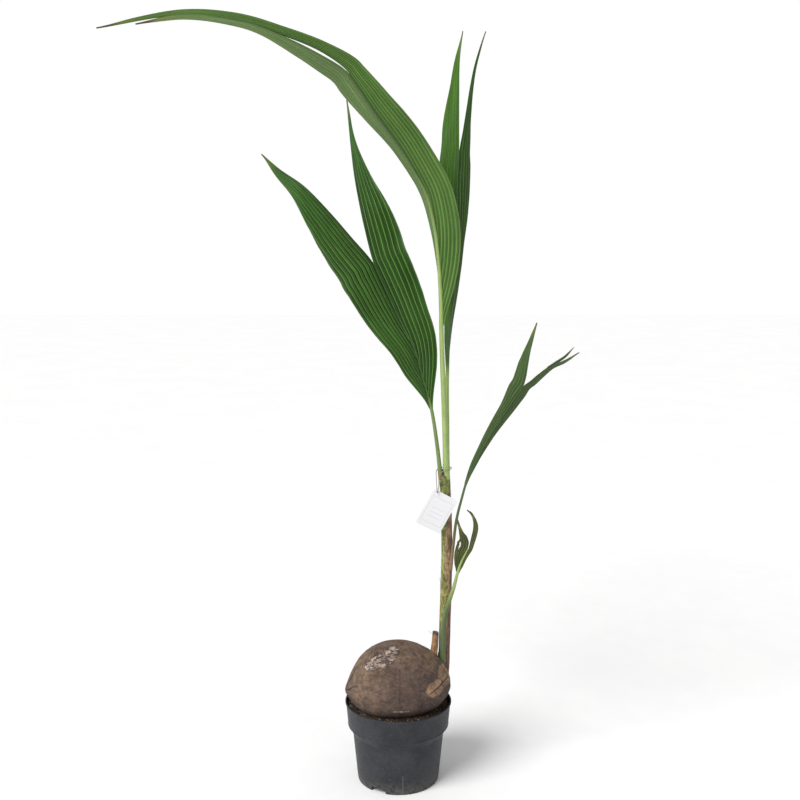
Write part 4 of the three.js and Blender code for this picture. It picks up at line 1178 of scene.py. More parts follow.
def stem_looks(points, centres, turn):
    """Dry, red, flaky and shade numbers, and the relief in mm, for points round the shoot."""
    height = points[..., 2]
    side = (points[..., 0] - centres[..., 0]) / STEM["mean"]
    front = ease(-(points[..., 1] - centres[..., 1]) / STEM["mean"], -0.35, 0.15)
    # The dry sheath lies right of its edge, and its old red-brown part further right.
    edge = np.interp(height, *zip(*SHEATH_EDGE))
    edge = edge * front + (0.35 - 0.8 * ease(height, 340, 300)) * (1 - front)
    waver = rough_noise(points, [0.25, 0.25, 0.06], 31, 3)
    dry = ease(side - edge + 0.3 * waver, -0.09, 0.09)
    red = dry * ease(side + 0.2 * waver, 0.1, 0.5) * np.maximum(
        ease(height, 345, 300), 0.8 * ease(side + 0.2 * waver, 0.5, 0.8))
    flaky = front * ease(height, 362, 350) * ease(side, 0.6, 0.1)
    # Shade: under the notch, beside the edge, in the dark spike, at the knob and in the collar.
    notch = front * np.exp(-(((height - 362 + 6 * side) / 2.6) ** 2)) * ease(side, 0.35, 0.1)
    notch = notch * ease(side, -0.75, -0.4)
    skirt = front * np.exp(-(((side - edge + 0.3 * waver) / 0.09) ** 2))
    spike = front * ease(height, 452, 440) * ease(height, 405, 440) * ease(
        side - 0.5 * ease(height, 440, 405), -0.1, 0.3)
    knob = front * np.exp(-(((height - 540) / 5) ** 2)) * ease(side, -0.2, -0.6)
    shade = np.clip(notch + 0.45 * skirt + 0.7 * spike + 0.8 * knob + ease(height, 549, 560), 0, 1)
    wear_and_painted_light = np.maximum(rough_noise(points, [0.16, 0.16, 0.06], 61, 3), 0)
    shade = np.clip(shade + 0.35 * ease(height, 300, 240) + 0.7 * wear_and_painted_light, 0, 1)
    # The relief: the sheath stands proud of the green, and swells where it leaves the husk.
    spread = np.stack([np.cos(turn) * 3, np.sin(turn) * 3, height * 0.02], -1)
    lift = 0.8 * dry + 0.35 * rough_noise(points, [0.1, 0.1, 0.025], 37, 2)
    lift = lift + 0.22 * rough_noise(spread, [4.0, 4.0, 1.5], 43, 3) - 1.3 * notch
    lift = lift + 0.5 * ease(height, 235, 205)
    return dry, red, flaky, shade, lift


def make_stem():
    """The wrapped leaf bases with the ragged collar at their top, the stub and torn fibres."""
    path = Path(STEM["path"])
    rows, sides, collar_rows, collar_height = sizes().stem_rings, 96, 14, 16
    share = np.linspace(0, 1, rows)
    line = path.at(share)
    radius = STEM["foot"] + (STEM["top"] - STEM["foot"]) * share
    collar = line[-1] + np.outer(np.linspace(1, collar_height, collar_rows),
                                 path.along([1.0])[0])
    line = np.vstack([line, collar])
    radius = np.concatenate([radius, STEM["top"] - np.linspace(0, 2.6, collar_rows) ** 1.2])
    first, second = frames(line, (1, 0, 0))
    turn = full_turn(sides)[None, :]
    spoke = first[:, None] * np.cos(turn)[..., None] + second[:, None] * np.sin(turn)[..., None]
    base = line[:, None] + spoke * radius[:, None, None]
    turns = np.broadcast_to(turn, base.shape[:2])
    dry, red, flaky, shade, lift = stem_looks(base, np.broadcast_to(line[:, None], base.shape),
                                              turns)
    ragged = rough_noise(np.stack([np.cos(turns[0]) * 3, np.sin(turns[0]) * 3, turns[0] * 0], -1),
                         2.0, 47, 3)
    base = base + spoke * lift[..., None]
    last = np.arange(rows, len(line))
    base[last, :, 2] += np.outer((last - rows) / (collar_rows - 1), 7 * ragged)
    points, faces = capped(base * MM)
    body = new_piece("stem_sheaths", points, faces, [
        sheath_skin("sheath_skin", tuple(colours().sheath_tan))])
    note_rings(body, dry=dry, red=red, flaky=flaky, shade=shade)
    place_piece(body, "stem", "stem")
    make_stub()
    make_stem_hairs(path)


def make_stub():
    """The dry stub of the oldest leaf base: creased, with a dark, torn and hollow top."""
    path = Path(STUB["path"])
    rows, sides = 90, 64
    share = np.linspace(0, 1, rows)
    line = path.at(share)
    radius = STUB["foot"] + (STUB["top"] - STUB["foot"]) * share + 0.5 * ease(share, 0.3, 0)
    turn = full_turn(sides)
    rings = swept(line, radius, sides, facing=(1, 0, 0))
    spread = np.stack([np.cos(turn) * 3, np.sin(turn) * 3, turn * 0], -1)
    spread = np.broadcast_to(spread, rings.shape) + np.array([0, 0, 1]) * share[:, None, None]
    fold = 0.4 * rough_noise(spread, [1.7, 1.7, 0.8], 53, 3) - 0.5 * np.exp(
        -((turn - 4.9) / 0.16) ** 2)[None]
    outward = unit(rings - line[:, None])
    rings = rings + outward * fold[..., None]
    ring = np.stack([np.cos(turn) * 2, np.sin(turn) * 2, turn * 0], -1)
    torn = 2.6 * rough_noise(ring, 1.6, 59, 2)
    rings[..., 2] += ease(share, 0.75, 1)[:, None] * (torn - np.cos(turn))
    hollow = ((0.88, 0.2), (0.72, 1.6), (0.5, 3.0), (0.25, 3.4))  # shares of the radius, and drops
    inner = [line[-1] + (rings[-1] - line[-1]) * part + [0, 0, -drop] for part, drop in hollow]
    rings = np.concatenate([rings, np.array(inner)])
    points, faces = capped(rings * MM)
    body = new_piece("stub_body", points, faces, [sheath_skin("stub_skin", STUB["colour"])])
    level = np.concatenate([share, np.ones(len(hollow))])[:, None] * np.ones((1, sides))
    dark = ease(level, 0.87, 0.97) * 0.85 + 0.35 * np.exp(-((turn - 4.9) / 0.2) ** 2)[None]
    for name, values in (("dry", level * 0 + 1), ("red", level * 0 + 0.15),
                         ("flaky", level * 0), ("shade", np.clip(dark, 0, 1))):
        note(body, name, np.concatenate([values.ravel(), [0, 1 if name == "shade" else 0]]))
    place_piece(body, "sheath", "sheath_stub")


def make_stem_hairs(path):
    """Torn sheath fibres: along the shoot, round the collar, and one from the stub's top."""
    rng = np.random.default_rng(5)
    hairs = []
    for _ in range(sizes().stem_hairs):
        share = rng.choice([rng.uniform(0.28, 0.98), rng.uniform(0.9, 0.99), 0.56])
        centre = path.at([share])[0]
        turn = rng.uniform(-math.pi, math.pi)
        outward = np.array([math.cos(turn), math.sin(turn), 0])
        start = centre + outward * (STEM["top"] + 0.6)
        heading = outward * rng.uniform(0.02, 0.3) + [0, 0, rng.choice([-1, 1, 1])]
        line = wandering(start, heading, rng.uniform(5, 20), 7, rng, 0.08)
        hairs.append(strand(line * MM, rng.uniform(0.1, 0.2) * MM))
    stub_top = np.array(STUB["path"][-1]) + [-3.5, -3, -2]
    wisp = Path([stub_top, stub_top + [-4, -1, 0.5], stub_top + [-8, -2, 4],
                 stub_top + [-11, -2, 7]])
    hairs.append(strand(wisp.at(np.linspace(0, 1, 9)) * MM, 0.35 * MM, 5))
    points, faces = joined(hairs)
    piece = new_piece("stem_hairs", points, faces,
                      [twine_fibre("sheath_hair", (0.1, 0.06, 0.03), (0.32, 0.22, 0.12))])
    place_piece(piece, "sheath")


# -------------------------------------------------------------------------------- the leaves

def smooth_row(values, shares):
    """Evenly spaced values, joined by a smooth curve, at shares from 0 to 1."""
    values = np.asarray(values, float)
    place = np.clip(shares, 0, 1) * (len(values) - 1)
    index = np.minimum(place.astype(int), len(values) - 2)
    t = place - index
    a, b, c, d = (values[np.clip(index + step, 0, len(values) - 1)] for step in (-1, 0, 1, 2))
    return b + 0.5 * t * (c - a + t * (2 * a - 5 * b + 4 * c - d + t * (3 * (b - c) + d - a)))


def half_lines(leaf, half, shares):
    """A half blade's inner edge, its across and face directions, and its widths, in mm."""
    rib = Path(leaf["rib"])
    start = rib.at(np.linspace(leaf["blade"], 1, 2 * len(leaf["rib"])))
    edge = Path(np.vstack([start, half["tip"]]))
    fork = rib.length * (1 - leaf["blade"]) / edge.length
    keys = np.asarray(half["across"], float)
    place = shares * (len(keys) - 1)
    across = np.stack([np.interp(place, np.arange(len(keys)), keys[:, k]) for k in range(3)], -1)
    tangent = edge.along(shares, 0.09)
    across = unit(across - tangent * np.sum(across * tangent, -1, keepdims=True))
    face = unit(np.cross(across, tangent))
    on_rib = leaf["blade"] + (1 - leaf["blade"]) * np.minimum(shares / fork, 1)
    radius = leaf["foot"] + (leaf["end"] - leaf["foot"]) * on_rib
    inner = edge.at(shares) + across * (0.5 * radius)[:, None]
    extra = (0.5 * radius + 1.8 * ease(shares, 1, 0.93)) * (0.2 + 0.8 * ease(shares, 0, 0.14))
    widths = smooth_row(half["widths"], shares) + extra
    return inner, across, face, widths, fork


FOLD_STEPS = (0, 0.09, 0.25, 0.41, 0.5, 0.59, 0.75, 0.91)  # columns of points in one pleat
DEEPEST_FOLD = 2.4  # mm


def blade_grid(leaf, half, seed):
    """Points of a pleated half blade with the phase, along and across numbers of each."""
    shares = np.linspace(0, 1, leaf["stations"])
    inner, across, face, widths, fork = half_lines(leaf, half, shares)
    rows = np.stack([shares * 40, shares * 0 + seed, shares * 0], -1)
    widths = widths * (1 + 0.006 * rough_noise(rows, 1.0, seed, 2))
    # Folds start one after another up to the fork, and run out at the outer edge towards the tip.
    folds = half["pleats"]
    started = folds * (1 - (1 - np.minimum(1, shares / fork)) ** 4.0)
    spread = started * (1 - 0.55 * ease(shares, fork, 1.25)) + 1e-6
    lines = np.concatenate([np.arange(folds) + step for step in FOLD_STEPS] + [[folds]])
    lines = np.sort(lines)[::-1]
    middle = np.clip((started[:, None] - lines[None]) / spread[:, None], 0, 1)
    t = np.hstack([np.zeros((len(shares), 1)), middle, np.ones((len(shares), 1))])
    phase = started[:, None] - t * spread[:, None]
    # The face's rise: creased folds, shallower at both edges and to the tip, a bow and a wave.
    crest = np.arcsin(0.96 * np.cos(2 * math.pi * phase)) / math.asin(0.96)
    pleat = widths / np.maximum(spread, 1.2)
    deep = np.minimum(half["fold"] * pleat / 2, DEEPEST_FOLD)[:, None] * ease(t, 0, 0.08)
    deep = deep * (1 - 0.9 * ease(t, 0.88, 1)) * (1 - 0.6 * ease(shares, 0.6, 0.95)[:, None])
    uneven = 1 + 0.25 * rough_noise(np.stack([phase * 0.9, shares[:, None] * 6 + t * 0,
                                              t * 0 + seed], -1), 1.0, seed + 2, 2)
    bow = half["camber"] * widths[:, None] * np.sin(math.pi * t * 0.9)
    wave = 0.06 * widths[:, None] * t * rough_noise(
        np.stack([shares[:, None] * 9 + t * 0, t * 1.5, t * 0 + seed], -1), 1.0, seed + 5, 2)
    rise = crest * deep * uneven + bow + wave
    points = (inner[:, None] + across[:, None] * (t * widths[:, None])[..., None]
              + face[:, None] * rise[..., None])
    along = np.broadcast_to(shares[:, None], t.shape)
    return points, face, t, phase, along


def merged_rows(t):
    """The number of the point that each grid point is the same as, along each row."""
    rows, columns = t.shape
    number = np.arange(rows * columns).reshape(rows, columns)
    same = np.hstack([np.zeros((rows, 1), bool), np.diff(t, axis=1) < 1e-6])
    first = np.where(same, 0, np.arange(columns)[None])
    return number[:, :1] + np.maximum.accumulate(first, axis=1)


def sheet_faces(t, slits, phase, along):
    """Quads and triangles of the grid, without those that have no area or lie in a slit."""
    ids = merged_rows(t)
    quads = np.stack([ids[:-1, :-1], ids[:-1, 1:], ids[1:, 1:], ids[1:, :-1]], -1).reshape(-1, 4)
    keep = np.ones(len(quads), bool)
    middle = (phase[:-1, :-1] + phase[1:, 1:]).ravel() / 2
    share = along[:-1, :-1].ravel()
    for line, low, high in slits:
        wide = 0.3 * np.sin(math.pi * np.clip((share - low) / (high - low), 0, 1))
        keep &= ~((np.abs(middle - line - 0.5) < wide) & (share > low) & (share < high))
    no_foot, no_top = quads[:, 0] == quads[:, 1], quads[:, 2] == quads[:, 3]
    whole = quads[keep & ~no_foot & ~no_top]
    tops = quads[keep & ~no_foot & no_top][:, :3]
    feet = quads[keep & no_foot & ~no_top][:, 1:]
    return whole, np.vstack([tops, feet])


def rim_quads(faces, total):
    """Quads that join the two sides of a sheet along its open edges."""
    edges = np.vstack([np.stack([each[:, k], each[:, (k + 1) % each.shape[1]]], -1)
                       for each in faces for k in range(each.shape[1])])
    code, back = edges[:, 0] * total + edges[:, 1], edges[:, 1] * total + edges[:, 0]
    rim = edges[~np.isin(code, back)]
    return np.stack([rim[:, 1], rim[:, 0], rim[:, 0] + total, rim[:, 1] + total], -1)


def bake_map(piece, places, total, rim_count):
    """UVs with one side of the sheet and its rim in the left half, the other side in the right."""
    half, left, right = 0.48, 0.01, 0.51
    corners = np.zeros(len(piece.data.loops), np.int32)
    piece.data.loops.foreach_get("vertex_index", corners)
    back = corners >= total
    back[len(corners) - 4 * rim_count:] = False
    uv = places[corners % total].copy()
    uv[:, 0] = uv[:, 0] * half + np.where(back, right, left)
    piece.data.uv_layers.new(name="OFBake").data.foreach_set("uv", uv.astype(np.float32).ravel())


def make_blade(leaf_name, side, seed, skins):
    """A half blade: two pleated faces a leaf's thickness apart, joined round their edges."""
    leaf = LEAVES[leaf_name]
    half = leaf["halves"][side]
    points, face, t, phase, along = blade_grid(leaf, half, seed)
    lift = face[:, None] * sizes().blade_thickness / 2 / MM
    total = t.size
    sheet = np.vstack([(points + lift).reshape(-1, 3), (points - lift).reshape(-1, 3)]) * MM
    quads, threes = sheet_faces(t, half.get("slits", []), phase, along)
    rim = rim_quads([quads, threes], total)
    faces = [quads, threes, quads[:, ::-1] + total, threes[:, ::-1] + total, rim]
    one_side = len(quads) + len(threes)
    faces_front = face[:, 1].mean() < 0
    kinds = (half["front"], half["back"]) if faces_front else (half["back"], half["front"])
    slots = np.repeat([0, 1, 0], [one_side, one_side, len(rim)])
    smooth = np.repeat([True, False], [2 * one_side, len(rim)])
    piece = new_piece(f"{leaf_name}_{side}_blade", sheet, faces, [skins[kind] for kind in kinds],
                      slots=slots, smooth=smooth)
    for name, values in (("phase", phase), ("along", along), ("across", t)):
        note(piece, name, np.tile(values.ravel(), 2))
    rows, columns = t.shape
    row, column = np.meshgrid(np.arange(rows), np.arange(columns), indexing="ij")
    places = np.stack([column / columns, row / rows], -1).reshape(-1, 2)
    bake_map(piece, places, total, len(rim))
    drop_loose(piece)
    place_piece(piece, "old_leaf_blade" if half["front"] == "old" else "leaf_blade",
                *nodes_of(f"{leaf_name}_{side}"))


def drop_loose(piece):
    """Deletes points that no face uses."""
    bm = bmesh.new()
    bm.from_mesh(piece.data)
    bmesh.ops.delete(bm, geom=[v for v in bm.verts if not v.link_faces], context="VERTS")
    bm.to_mesh(piece.data)
    bm.free()


def make_stalk(leaf_name, skin):
    """The petiole and rib: a tapering limb with a groove down its upper side."""
    leaf = LEAVES[leaf_name]
    path = Path(leaf["rib"])
    rows, sides = int(path.length / 2.2), 28
    share = np.linspace(0, 1, rows)
    line = path.at(share)
    radius = leaf["foot"] + (leaf["end"] - leaf["foot"]) * share ** leaf.get("taper", 1)
    radius = radius * np.where(share > 0.985, np.sqrt(np.maximum(1 - share, 0) / 0.015), 1)
    radius = np.maximum(radius, 0.08)
    turn = full_turn(sides)
    hollow = np.cos(turn - math.radians(leaf["groove"]))
    shape = 1 - 0.22 * np.exp(-((1 - hollow) / 0.14)) + 0.05 * ease(hollow, 0.5, 0.8)
    ribs = 1 + 0.02 * np.cos(turn * 9)
    wide = 1 + 0.16 * ease(share, 0.1, 0)[:, None] * np.abs(np.cos(turn))
    rings = swept(line, radius[:, None] * (shape * ribs)[None] * wide, sides, facing=(1, 0, 0))
    points, faces = capped(rings * MM)
    piece = new_piece(f"{leaf_name}_stalk", points, faces, [skin])
    level = np.broadcast_to(share[:, None], (rows, sides))
    around = np.broadcast_to(np.abs(turn / math.pi - 1)[None], (rows, sides))
    dried = leaf.get("dried", 0)
    dry = ease(level, dried, dried * 0.3) if dried else level * 0
    dark = level * 0 + leaf.get("dark", 0)
    if leaf_name == "low_leaf":
        right = ease(rings[..., 0] - line[:, None, 0], -2.5, 2)
        dark = (0.86 + 0.14 * right) * ease(level, 0.72, 0.42)
    leafy = ease(level, *leaf.get("greens", (leaf["blade"], leaf["blade"] + 0.07)))
    leafy = leafy * (leaf_name != "low_leaf")
    note_rings(piece, along=level, around=around, dry=dry, deep=dark, leafy=leafy)
    place_piece(piece, "leaf_rib", *nodes_of(f"{leaf_name}_rib"))


def make_split_tip(skin):
    """A narrow strip that has split away from the end of the right leaf's lower half."""
    path = Path([[249, -52, 753], [263, -54.5, 762], [277, -57, 772], [292, -60, 789]])
    rows, sides, widest, thin = 60, 16, 2.4, 0.14
    share = np.linspace(0, 1, rows)
    width = widest * np.sin(math.pi * np.clip(share * 0.85 + 0.15, 0, 1)) ** 0.8 + 0.05
    turn = full_turn(sides)
    flat = (np.abs(np.cos(turn)) + thin) / (1 + thin)
    rings = swept(path.at(share), width[:, None] * flat[None], sides, facing=(0.5, 0.2, -0.8))
    points, faces = capped(rings * MM)
    piece = new_piece("right_leaf_split_tip", points, faces, [skin])
    level = np.broadcast_to(share[:, None], (rows, sides))
    note_rings(piece, phase=level * 0 + np.cos(turn)[None] * 0.7, across=level * 0,
               along=0.7 + 0.3 * level)
    place_piece(piece, "leaf_blade")


def make_leaves():
    """All five leaves, each half blade with its own seed, and the right leaf's split tip."""
    stalk = stalk_skin()
    skins = {kind: blade_skin(kind) for kind in BLADES}
    make_split_tip(skins["dull"])
    seeds = iter(range(100, 200, 10))
    for name, leaf in LEAVES.items():
        make_stalk(name, stalk)
        for side in leaf["halves"]:
            make_blade(name, side, next(seeds), skins)


# ------------------------------------------------------------------------- card and twine

def card_matrix():
    """Where the card hangs: turned in its own plane and leaning back."""
    turn, lean = math.radians(-CARD["turn"]), math.radians(CARD["lean"])
    return (Matrix.Translation(Vector(CARD["place"]) * MM) @ Matrix.Rotation(turn, 4, "Y")
            @ Matrix.Rotation(math.pi / 2 + lean, 4, "X"))


def card_outline():
    """The card's edge, with rounded corners, x to the right and y down from its corner."""
    width, height, corner = CARD["width"], CARD["height"], CARD["corner"]
    points = []
    for x, y, start in ((width - corner, -corner, 0), (corner, -corner, 90),
                        (corner, corner - height, 180), (width - corner, corner - height, 270)):
        for step in range(7):
            angle = math.radians(start + step * 15)
            points.append((x + corner * math.cos(angle), y + corner * math.sin(angle)))
    return points


def ring_of(centre, radius, steps):
    """Points of a circle in the card's plane."""
    return [(centre[0] + radius * math.cos(2 * math.pi * i / steps),
             centre[1] + radius * math.sin(2 * math.pi * i / steps)) for i in range(steps)]


def make_card():
    """The card: cut from its outline with a hole, and curled a little towards its lower edge."""
    curve = bpy.data.curves.new("card_cut", "CURVE")
    curve.dimensions, curve.fill_mode = "2D", "BOTH"
    curve.extrude, curve.bevel_depth = CARD["thickness"] * MM * 0.4, CARD["thickness"] * MM * 0.1
    hole = (CARD["hole_x"], -CARD["hole_y"])
    for outline in (card_outline(), ring_of(hole, CARD["hole"], 40)):
        spline = curve.splines.new("POLY")
        spline.points.add(len(outline) - 1)
        spline.use_cyclic_u = True
        for point, (x, y) in zip(spline.points, outline):
            point.co = (x * MM, y * MM, 0, 1)
    flat = bpy.data.objects.new("card_cut", curve)
    bpy.context.scene.collection.objects.link(flat)
    graph = bpy.context.evaluated_depsgraph_get()
    mesh = bpy.data.meshes.new_from_object(flat.evaluated_get(graph), depsgraph=graph)
    bpy.data.objects.remove(flat)
    bm = bmesh.new()
    bm.from_mesh(mesh)
    bmesh.ops.remove_doubles(bm, verts=bm.verts, dist=1e-6)
    strips = 14
    for axis, length in (((1, 0, 0), CARD["width"]), ((0, 1, 0), -CARD["height"])):
        for step in range(1, strips):
            spot = Vector(axis) * (length * step / strips * MM)
            bmesh.ops.bisect_plane(bm, geom=bm.verts[:] + bm.edges[:] + bm.faces[:],
                                   plane_co=spot, plane_no=axis)
    half = CARD["thickness"] * MM
    for vert in bm.verts:
        across = vert.co.x / (CARD["width"] * MM) - 0.5
        down = -vert.co.y / (CARD["height"] * MM)
        vert.co.z += half + (0.0016 * across * across - 0.0022 * down * down * (across + 0.2))
    bmesh.ops.recalc_face_normals(bm, faces=bm.faces)
    bm.to_mesh(mesh)
    bm.free()
    mesh.polygons.foreach_set("use_smooth", np.ones(len(mesh.polygons), bool))
    mesh.set_sharp_from_angle(angle=math.radians(35))
    mesh.materials.clear()
    mesh.materials.append(card_paper())
    card = bpy.data.objects.new("card_sheet", mesh)
    bpy.context.scene.collection.objects.link(card)
    card.matrix_world = card_matrix()
    place_piece(card, "card", "card")
    make_twine()


def make_twine():
    """Two plies twisted together, in a loop from the card's hole round the petioles, and a knot."""
    steps, pitch, ply_offset, knot_radius, sides = 700, 3.4, 0.36, 0.42, 7
    ply_radius = mm(sizes().ply_radius)
    hole = card_matrix() @ (Vector((CARD["hole_x"], -CARD["hole_y"], 0.5)) * MM)
    x, y, z = (part / MM for part in hole)
    top = LOOP_TOP
    path = Path([
        [x, y - 3, z + 1], [x + 2.5, y - 1, z + 14], [72, 4.5, top - 8], [80, 4.2, top - 1],
        [89, 4.9, top], [92.8, 12.5, top + 1], [92.6, 23, top + 1], [87, 29.2, top + 1],
        [76, 25, top], [68.5, 18, top - 2], [66.5, 9, top - 5], [x - 1, y + 5, z + 16],
        [x, y + 3.5, z + 1],
    ], closed=True)
    line = path.at(np.linspace(0, 1, steps))
    first, second = frames(line, (0, 0, 1))
    angle = np.linspace(0, path.length / pitch * 2 * math.pi, steps)[:, None]
    parts = []
    for ply in (0, math.pi):
        offset = (first * np.cos(angle + ply) + second * np.sin(angle + ply)) * ply_offset
        parts.append(capped(swept((line + offset) * MM, ply_radius * MM, sides, facing=(0, 0, 1))))
    for spin in (0.0, 2.1):
        turn = np.linspace(0, 2 * math.pi, 90)
        knot = np.stack([np.sin(turn) + 2 * np.sin(2 * turn), np.cos(turn) - 2 * np.cos(2 * turn),
                         -np.sin(3 * turn)], -1) * 0.52
        turned = np.array(Matrix.Rotation(spin, 3, "X"))
        centre = np.array([x + 0.2, y - 2.6, z + 3.6])
        parts.append(capped(swept((knot @ turned.T + centre) * MM, knot_radius * MM, sides,
                                  facing=(0.2, 0.1, 1))))
    points, faces = joined(parts)
    finish = twine_fibre("twine", (0.16, 0.13, 0.1), (0.42, 0.38, 0.31))
    place_piece(new_piece("card_twine", points, faces, [finish]), "string", "card_string")


# --------------------------------------------------------------------------------- the stage

CAMERA = {"place": (0.0031, -1.804, 0.963), "down": 8.59, "lens": 47.61, "sensor": 36}
LIGHTS = {"main_light": ("SUN", (-1.5, -1.5, 2.6)), "fill_light": ("AREA", (1.5, -2.2, 1.4))}
PLANT_MIDDLE = (0.02, 0, 0.6)  # what both lights are aimed at


def make_stage():
    """A pale floor, a white surround, a soft main light, a fill, and the camera."""
    scene = bpy.context.scene
    span = sizes().floor_size
    lines = np.linspace(-span / 2, span / 2, 9)
    x, y = np.meshgrid(lines, lines, indexing="xy")
    points = np.stack([x, y, x * 0], -1).reshape(-1, 3)
    floor = new_piece("floor", points, [grid_faces(len(lines), len(lines))], [floor_paint()])
    scene.world = white_surround(sizes().surround)
    add_light("main_light", sizes().main_light).angle = math.radians(34)
    add_light("fill_light", sizes().fill_light).size = 1.4
    camera = bpy.data.cameras.new("camera")
    camera.sensor_width = CAMERA["sensor"]
    camera.lens = CAMERA["lens"]
    eye = bpy.data.objects.new("camera", camera)
    eye.location = CAMERA["place"]
    eye.rotation_euler = (math.radians(90 - CAMERA["down"]), 0, 0)
    scene.collection.objects.link(eye)
    scene.camera = eye
    scene.view_settings.view_transform = "Standard"


def white_surround(strength):
    """A surround that is seen as plain white and lights the plant by its strength."""
    world = bpy.data.worlds.new("white_surround")
    world.use_nodes = True
    net = Net(world.node_tree)
    seen = net.add("LightPath").outputs["Is Camera Ray"]
    surround = world.node_tree.nodes["Background"]
    net.feed(surround.inputs["Color"], (1, 1, 1))
    net.feed(surround.inputs["Strength"], net.times(seen, 1 - strength, strength))
    return world


def add_light(name, power):
    """A lamp that looks at the middle of the plant."""
    kind, place = LIGHTS[name]
    light = bpy.data.lights.new(name, kind)
    light.energy = power
    lamp = bpy.data.objects.new(name, light)
    lamp.location = place
    aim = Vector(PLANT_MIDDLE) - Vector(place)
    lamp.rotation_euler = aim.to_track_quat("-Z", "Y").to_euler()
    bpy.context.scene.collection.objects.link(lamp)
    return light


# ---------------------------------------------------------------------------------- add-on

class PalmSizes(bpy.types.PropertyGroup):
    """Sizes that may be changed, how fine the pieces are, and how strong the lights."""

    pot_sides: IntProperty(name="Pot sides", description="Faces round the pot", default=192)
    husk_rings: IntProperty(name="Husk rings", description="Rings along the husk", default=250)
    husk_sides: IntProperty(name="Husk sides", description="Faces round the husk", default=300)
    husk_hairs: IntProperty(name="Husk hairs", description="Loose fibres on the husk",
                            default=420)
    stem_rings: IntProperty(name="Stem rings", description="Rings up the shoot", default=420)
    stem_hairs: IntProperty(name="Stem hairs", description="Torn fibres on the shoot",
                            default=90)
    crumbs: IntProperty(name="Crumbs", description="Lumps of peat on the soil", default=3600)
    soil_fibres: IntProperty(name="Coir fibres", description="Fibres on the soil", default=520)
    blade_thickness: FloatProperty(name="Blade thickness", description="Thickness of a leaf",
                                   default=0.0004, unit="LENGTH", precision=5)
    husk_length: FloatProperty(name="Husk length", description="Length of the husk",
                               default=HUSK["length"] * MM, unit="LENGTH")
    husk_width: FloatProperty(name="Husk width", description="Width of the husk, front to back",
                              default=HUSK["width"] * MM, unit="LENGTH")
    soil_level: FloatProperty(name="Soil level", description="Height of the soil in the pot",
                              default=SOIL_TOP * MM, unit="LENGTH")
    ply_radius: FloatProperty(name="Twine ply", description="Radius of one ply of the twine",
                              default=PLY_RADIUS * MM, unit="LENGTH", precision=5)
    floor_size: FloatProperty(name="Floor", description="Side of the floor", default=24.0,
                              unit="LENGTH")
    surround: FloatProperty(name="Surround", description="Light from the white surround",
                            default=0.5)
    main_light: FloatProperty(name="Main light", description="Strength of the soft main light",
                              default=3.0)
    fill_light: FloatProperty(name="Fill light", description="Power of the fill light",
                              default=4.0, unit="POWER")


def colour_property(name, description, default):
    """A colour in linear RGB."""
    return FloatVectorProperty(name=name, description=description, default=default,
                               subtype="COLOR", min=0, max=1)


class PalmColours(bpy.types.PropertyGroup):
    """The main colour of each finish."""

    pot: colour_property("Pot", "Slate grey of the pot", (0.018, 0.019, 0.0225))
    husk_grey: colour_property("Husk grey", "Weathered skin of the husk", (0.13, 0.093, 0.075))
    husk_brown: colour_property("Husk brown", "Darker skin of the husk", (0.065, 0.042, 0.035))
    husk_tan: colour_property("Husk tan", "Bare fibre of the husk", (0.33, 0.24, 0.155))
    sheath_tan: colour_property("Sheath tan", "Dry leaf bases", (0.36, 0.235, 0.12))
    sheath_red: colour_property("Sheath red", "Old leaf bases", (0.2, 0.1, 0.06))
    stalk: colour_property("Stalk", "Petioles and ribs", (0.24, 0.35, 0.09))


class PALM_OT_stage(bpy.types.Operator):
    """Makes the floor, the lights and the camera."""

    bl_idname = "palm.stage"
    bl_label = "Stage"
    bl_options = {"REGISTER", "UNDO"}

    def execute(self, context):
        make_stage()
        return {"FINISHED"}


class PALM_OT_pot(bpy.types.Operator):
    """Makes the nursery pot."""

    bl_idname = "palm.pot"
    bl_label = "Pot"
    bl_options = {"REGISTER", "UNDO"}

    def execute(self, context):
        make_pot()
        return {"FINISHED"}


class PALM_OT_soil(bpy.types.Operator):
    """Makes the soil, its crumbs and its fibres."""

    bl_idname = "palm.soil"
    bl_label = "Soil"
    bl_options = {"REGISTER", "UNDO"}

    def execute(self, context):
        make_soil()
        return {"FINISHED"}


class PALM_OT_husk(bpy.types.Operator):
    """Makes the husk and its loose fibres."""

    bl_idname = "palm.husk"
    bl_label = "Husk"
    bl_options = {"REGISTER", "UNDO"}

    def execute(self, context):
        make_husk()
        return {"FINISHED"}


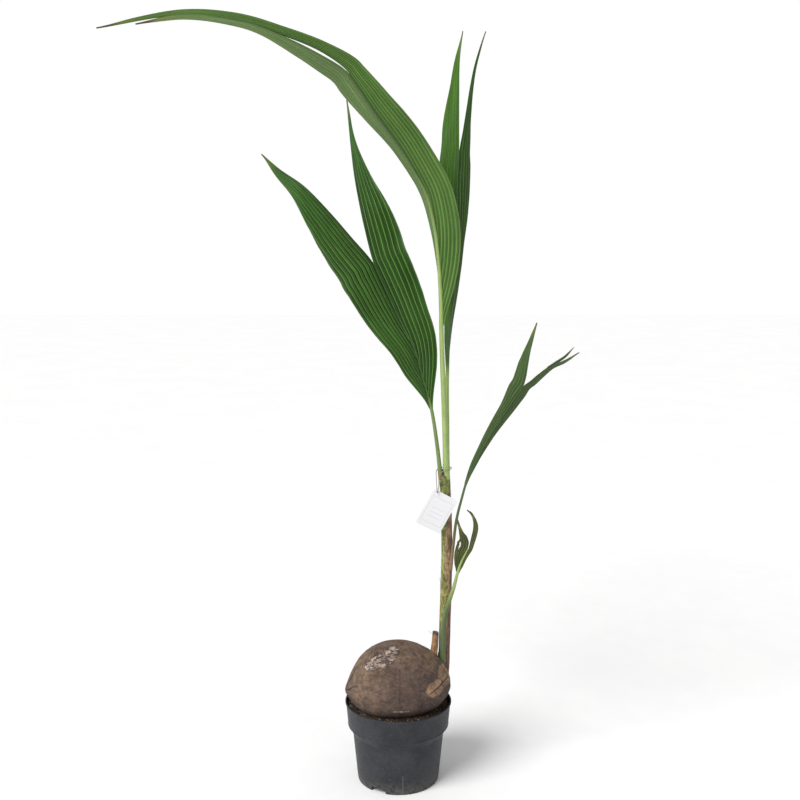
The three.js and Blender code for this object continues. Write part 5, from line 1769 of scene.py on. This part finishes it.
class PALM_OT_shoot(bpy.types.Operator):
    """Makes the wrapped leaf bases, the cut stub and their torn fibres."""

    bl_idname = "palm.shoot"
    bl_label = "Shoot"
    bl_options = {"REGISTER", "UNDO"}

    def execute(self, context):
        make_stem()
        return {"FINISHED"}


class PALM_OT_leaves(bpy.types.Operator):
    """Makes the petioles, ribs and pleated blades of the five leaves."""

    bl_idname = "palm.leaves"
    bl_label = "Leaves"
    bl_options = {"REGISTER", "UNDO"}

    def execute(self, context):
        make_leaves()
        return {"FINISHED"}


class PALM_OT_card(bpy.types.Operator):
    """Makes the card and its twine."""

    bl_idname = "palm.card"
    bl_label = "Card"
    bl_options = {"REGISTER", "UNDO"}

    def execute(self, context):
        make_card()
        return {"FINISHED"}


OPERATORS = (PALM_OT_stage, PALM_OT_pot, PALM_OT_soil, PALM_OT_husk, PALM_OT_shoot,
             PALM_OT_leaves, PALM_OT_card)


class PALM_PT_pieces(bpy.types.Panel):
    """Lists the pieces of the palm with their sizes and colours."""

    bl_idname = "PALM_PT_pieces"
    bl_label = "Potted palm"
    bl_space_type = "VIEW_3D"
    bl_region_type = "UI"
    bl_category = "Palm"

    def draw(self, context):
        for operator in OPERATORS:
            self.layout.operator(operator.bl_idname)
        for group in (context.scene.palm_sizes, context.scene.palm_colours):
            for name in group.__annotations__:
                self.layout.prop(group, name)


CLASSES = (PalmSizes, PalmColours, *OPERATORS, PALM_PT_pieces)


def register():
    """Makes the classes known and hangs the sizes and colours on the scene."""
    for each in CLASSES:
        bpy.utils.register_class(each)
    bpy.types.Scene.palm_sizes = PointerProperty(type=PalmSizes)
    bpy.types.Scene.palm_colours = PointerProperty(type=PalmColours)


def unregister():
    """Takes away what register added."""
    del bpy.types.Scene.palm_colours
    del bpy.types.Scene.palm_sizes
    for each in reversed(CLASSES):
        bpy.utils.unregister_class(each)


def main():
    """Builds the stage and every piece."""
    register()
    bpy.ops.palm.stage()
    bpy.ops.palm.pot()
    bpy.ops.palm.soil()
    bpy.ops.palm.husk()
    bpy.ops.palm.shoot()
    bpy.ops.palm.leaves()
    bpy.ops.palm.card()


if __name__ == "__main__":
    main()
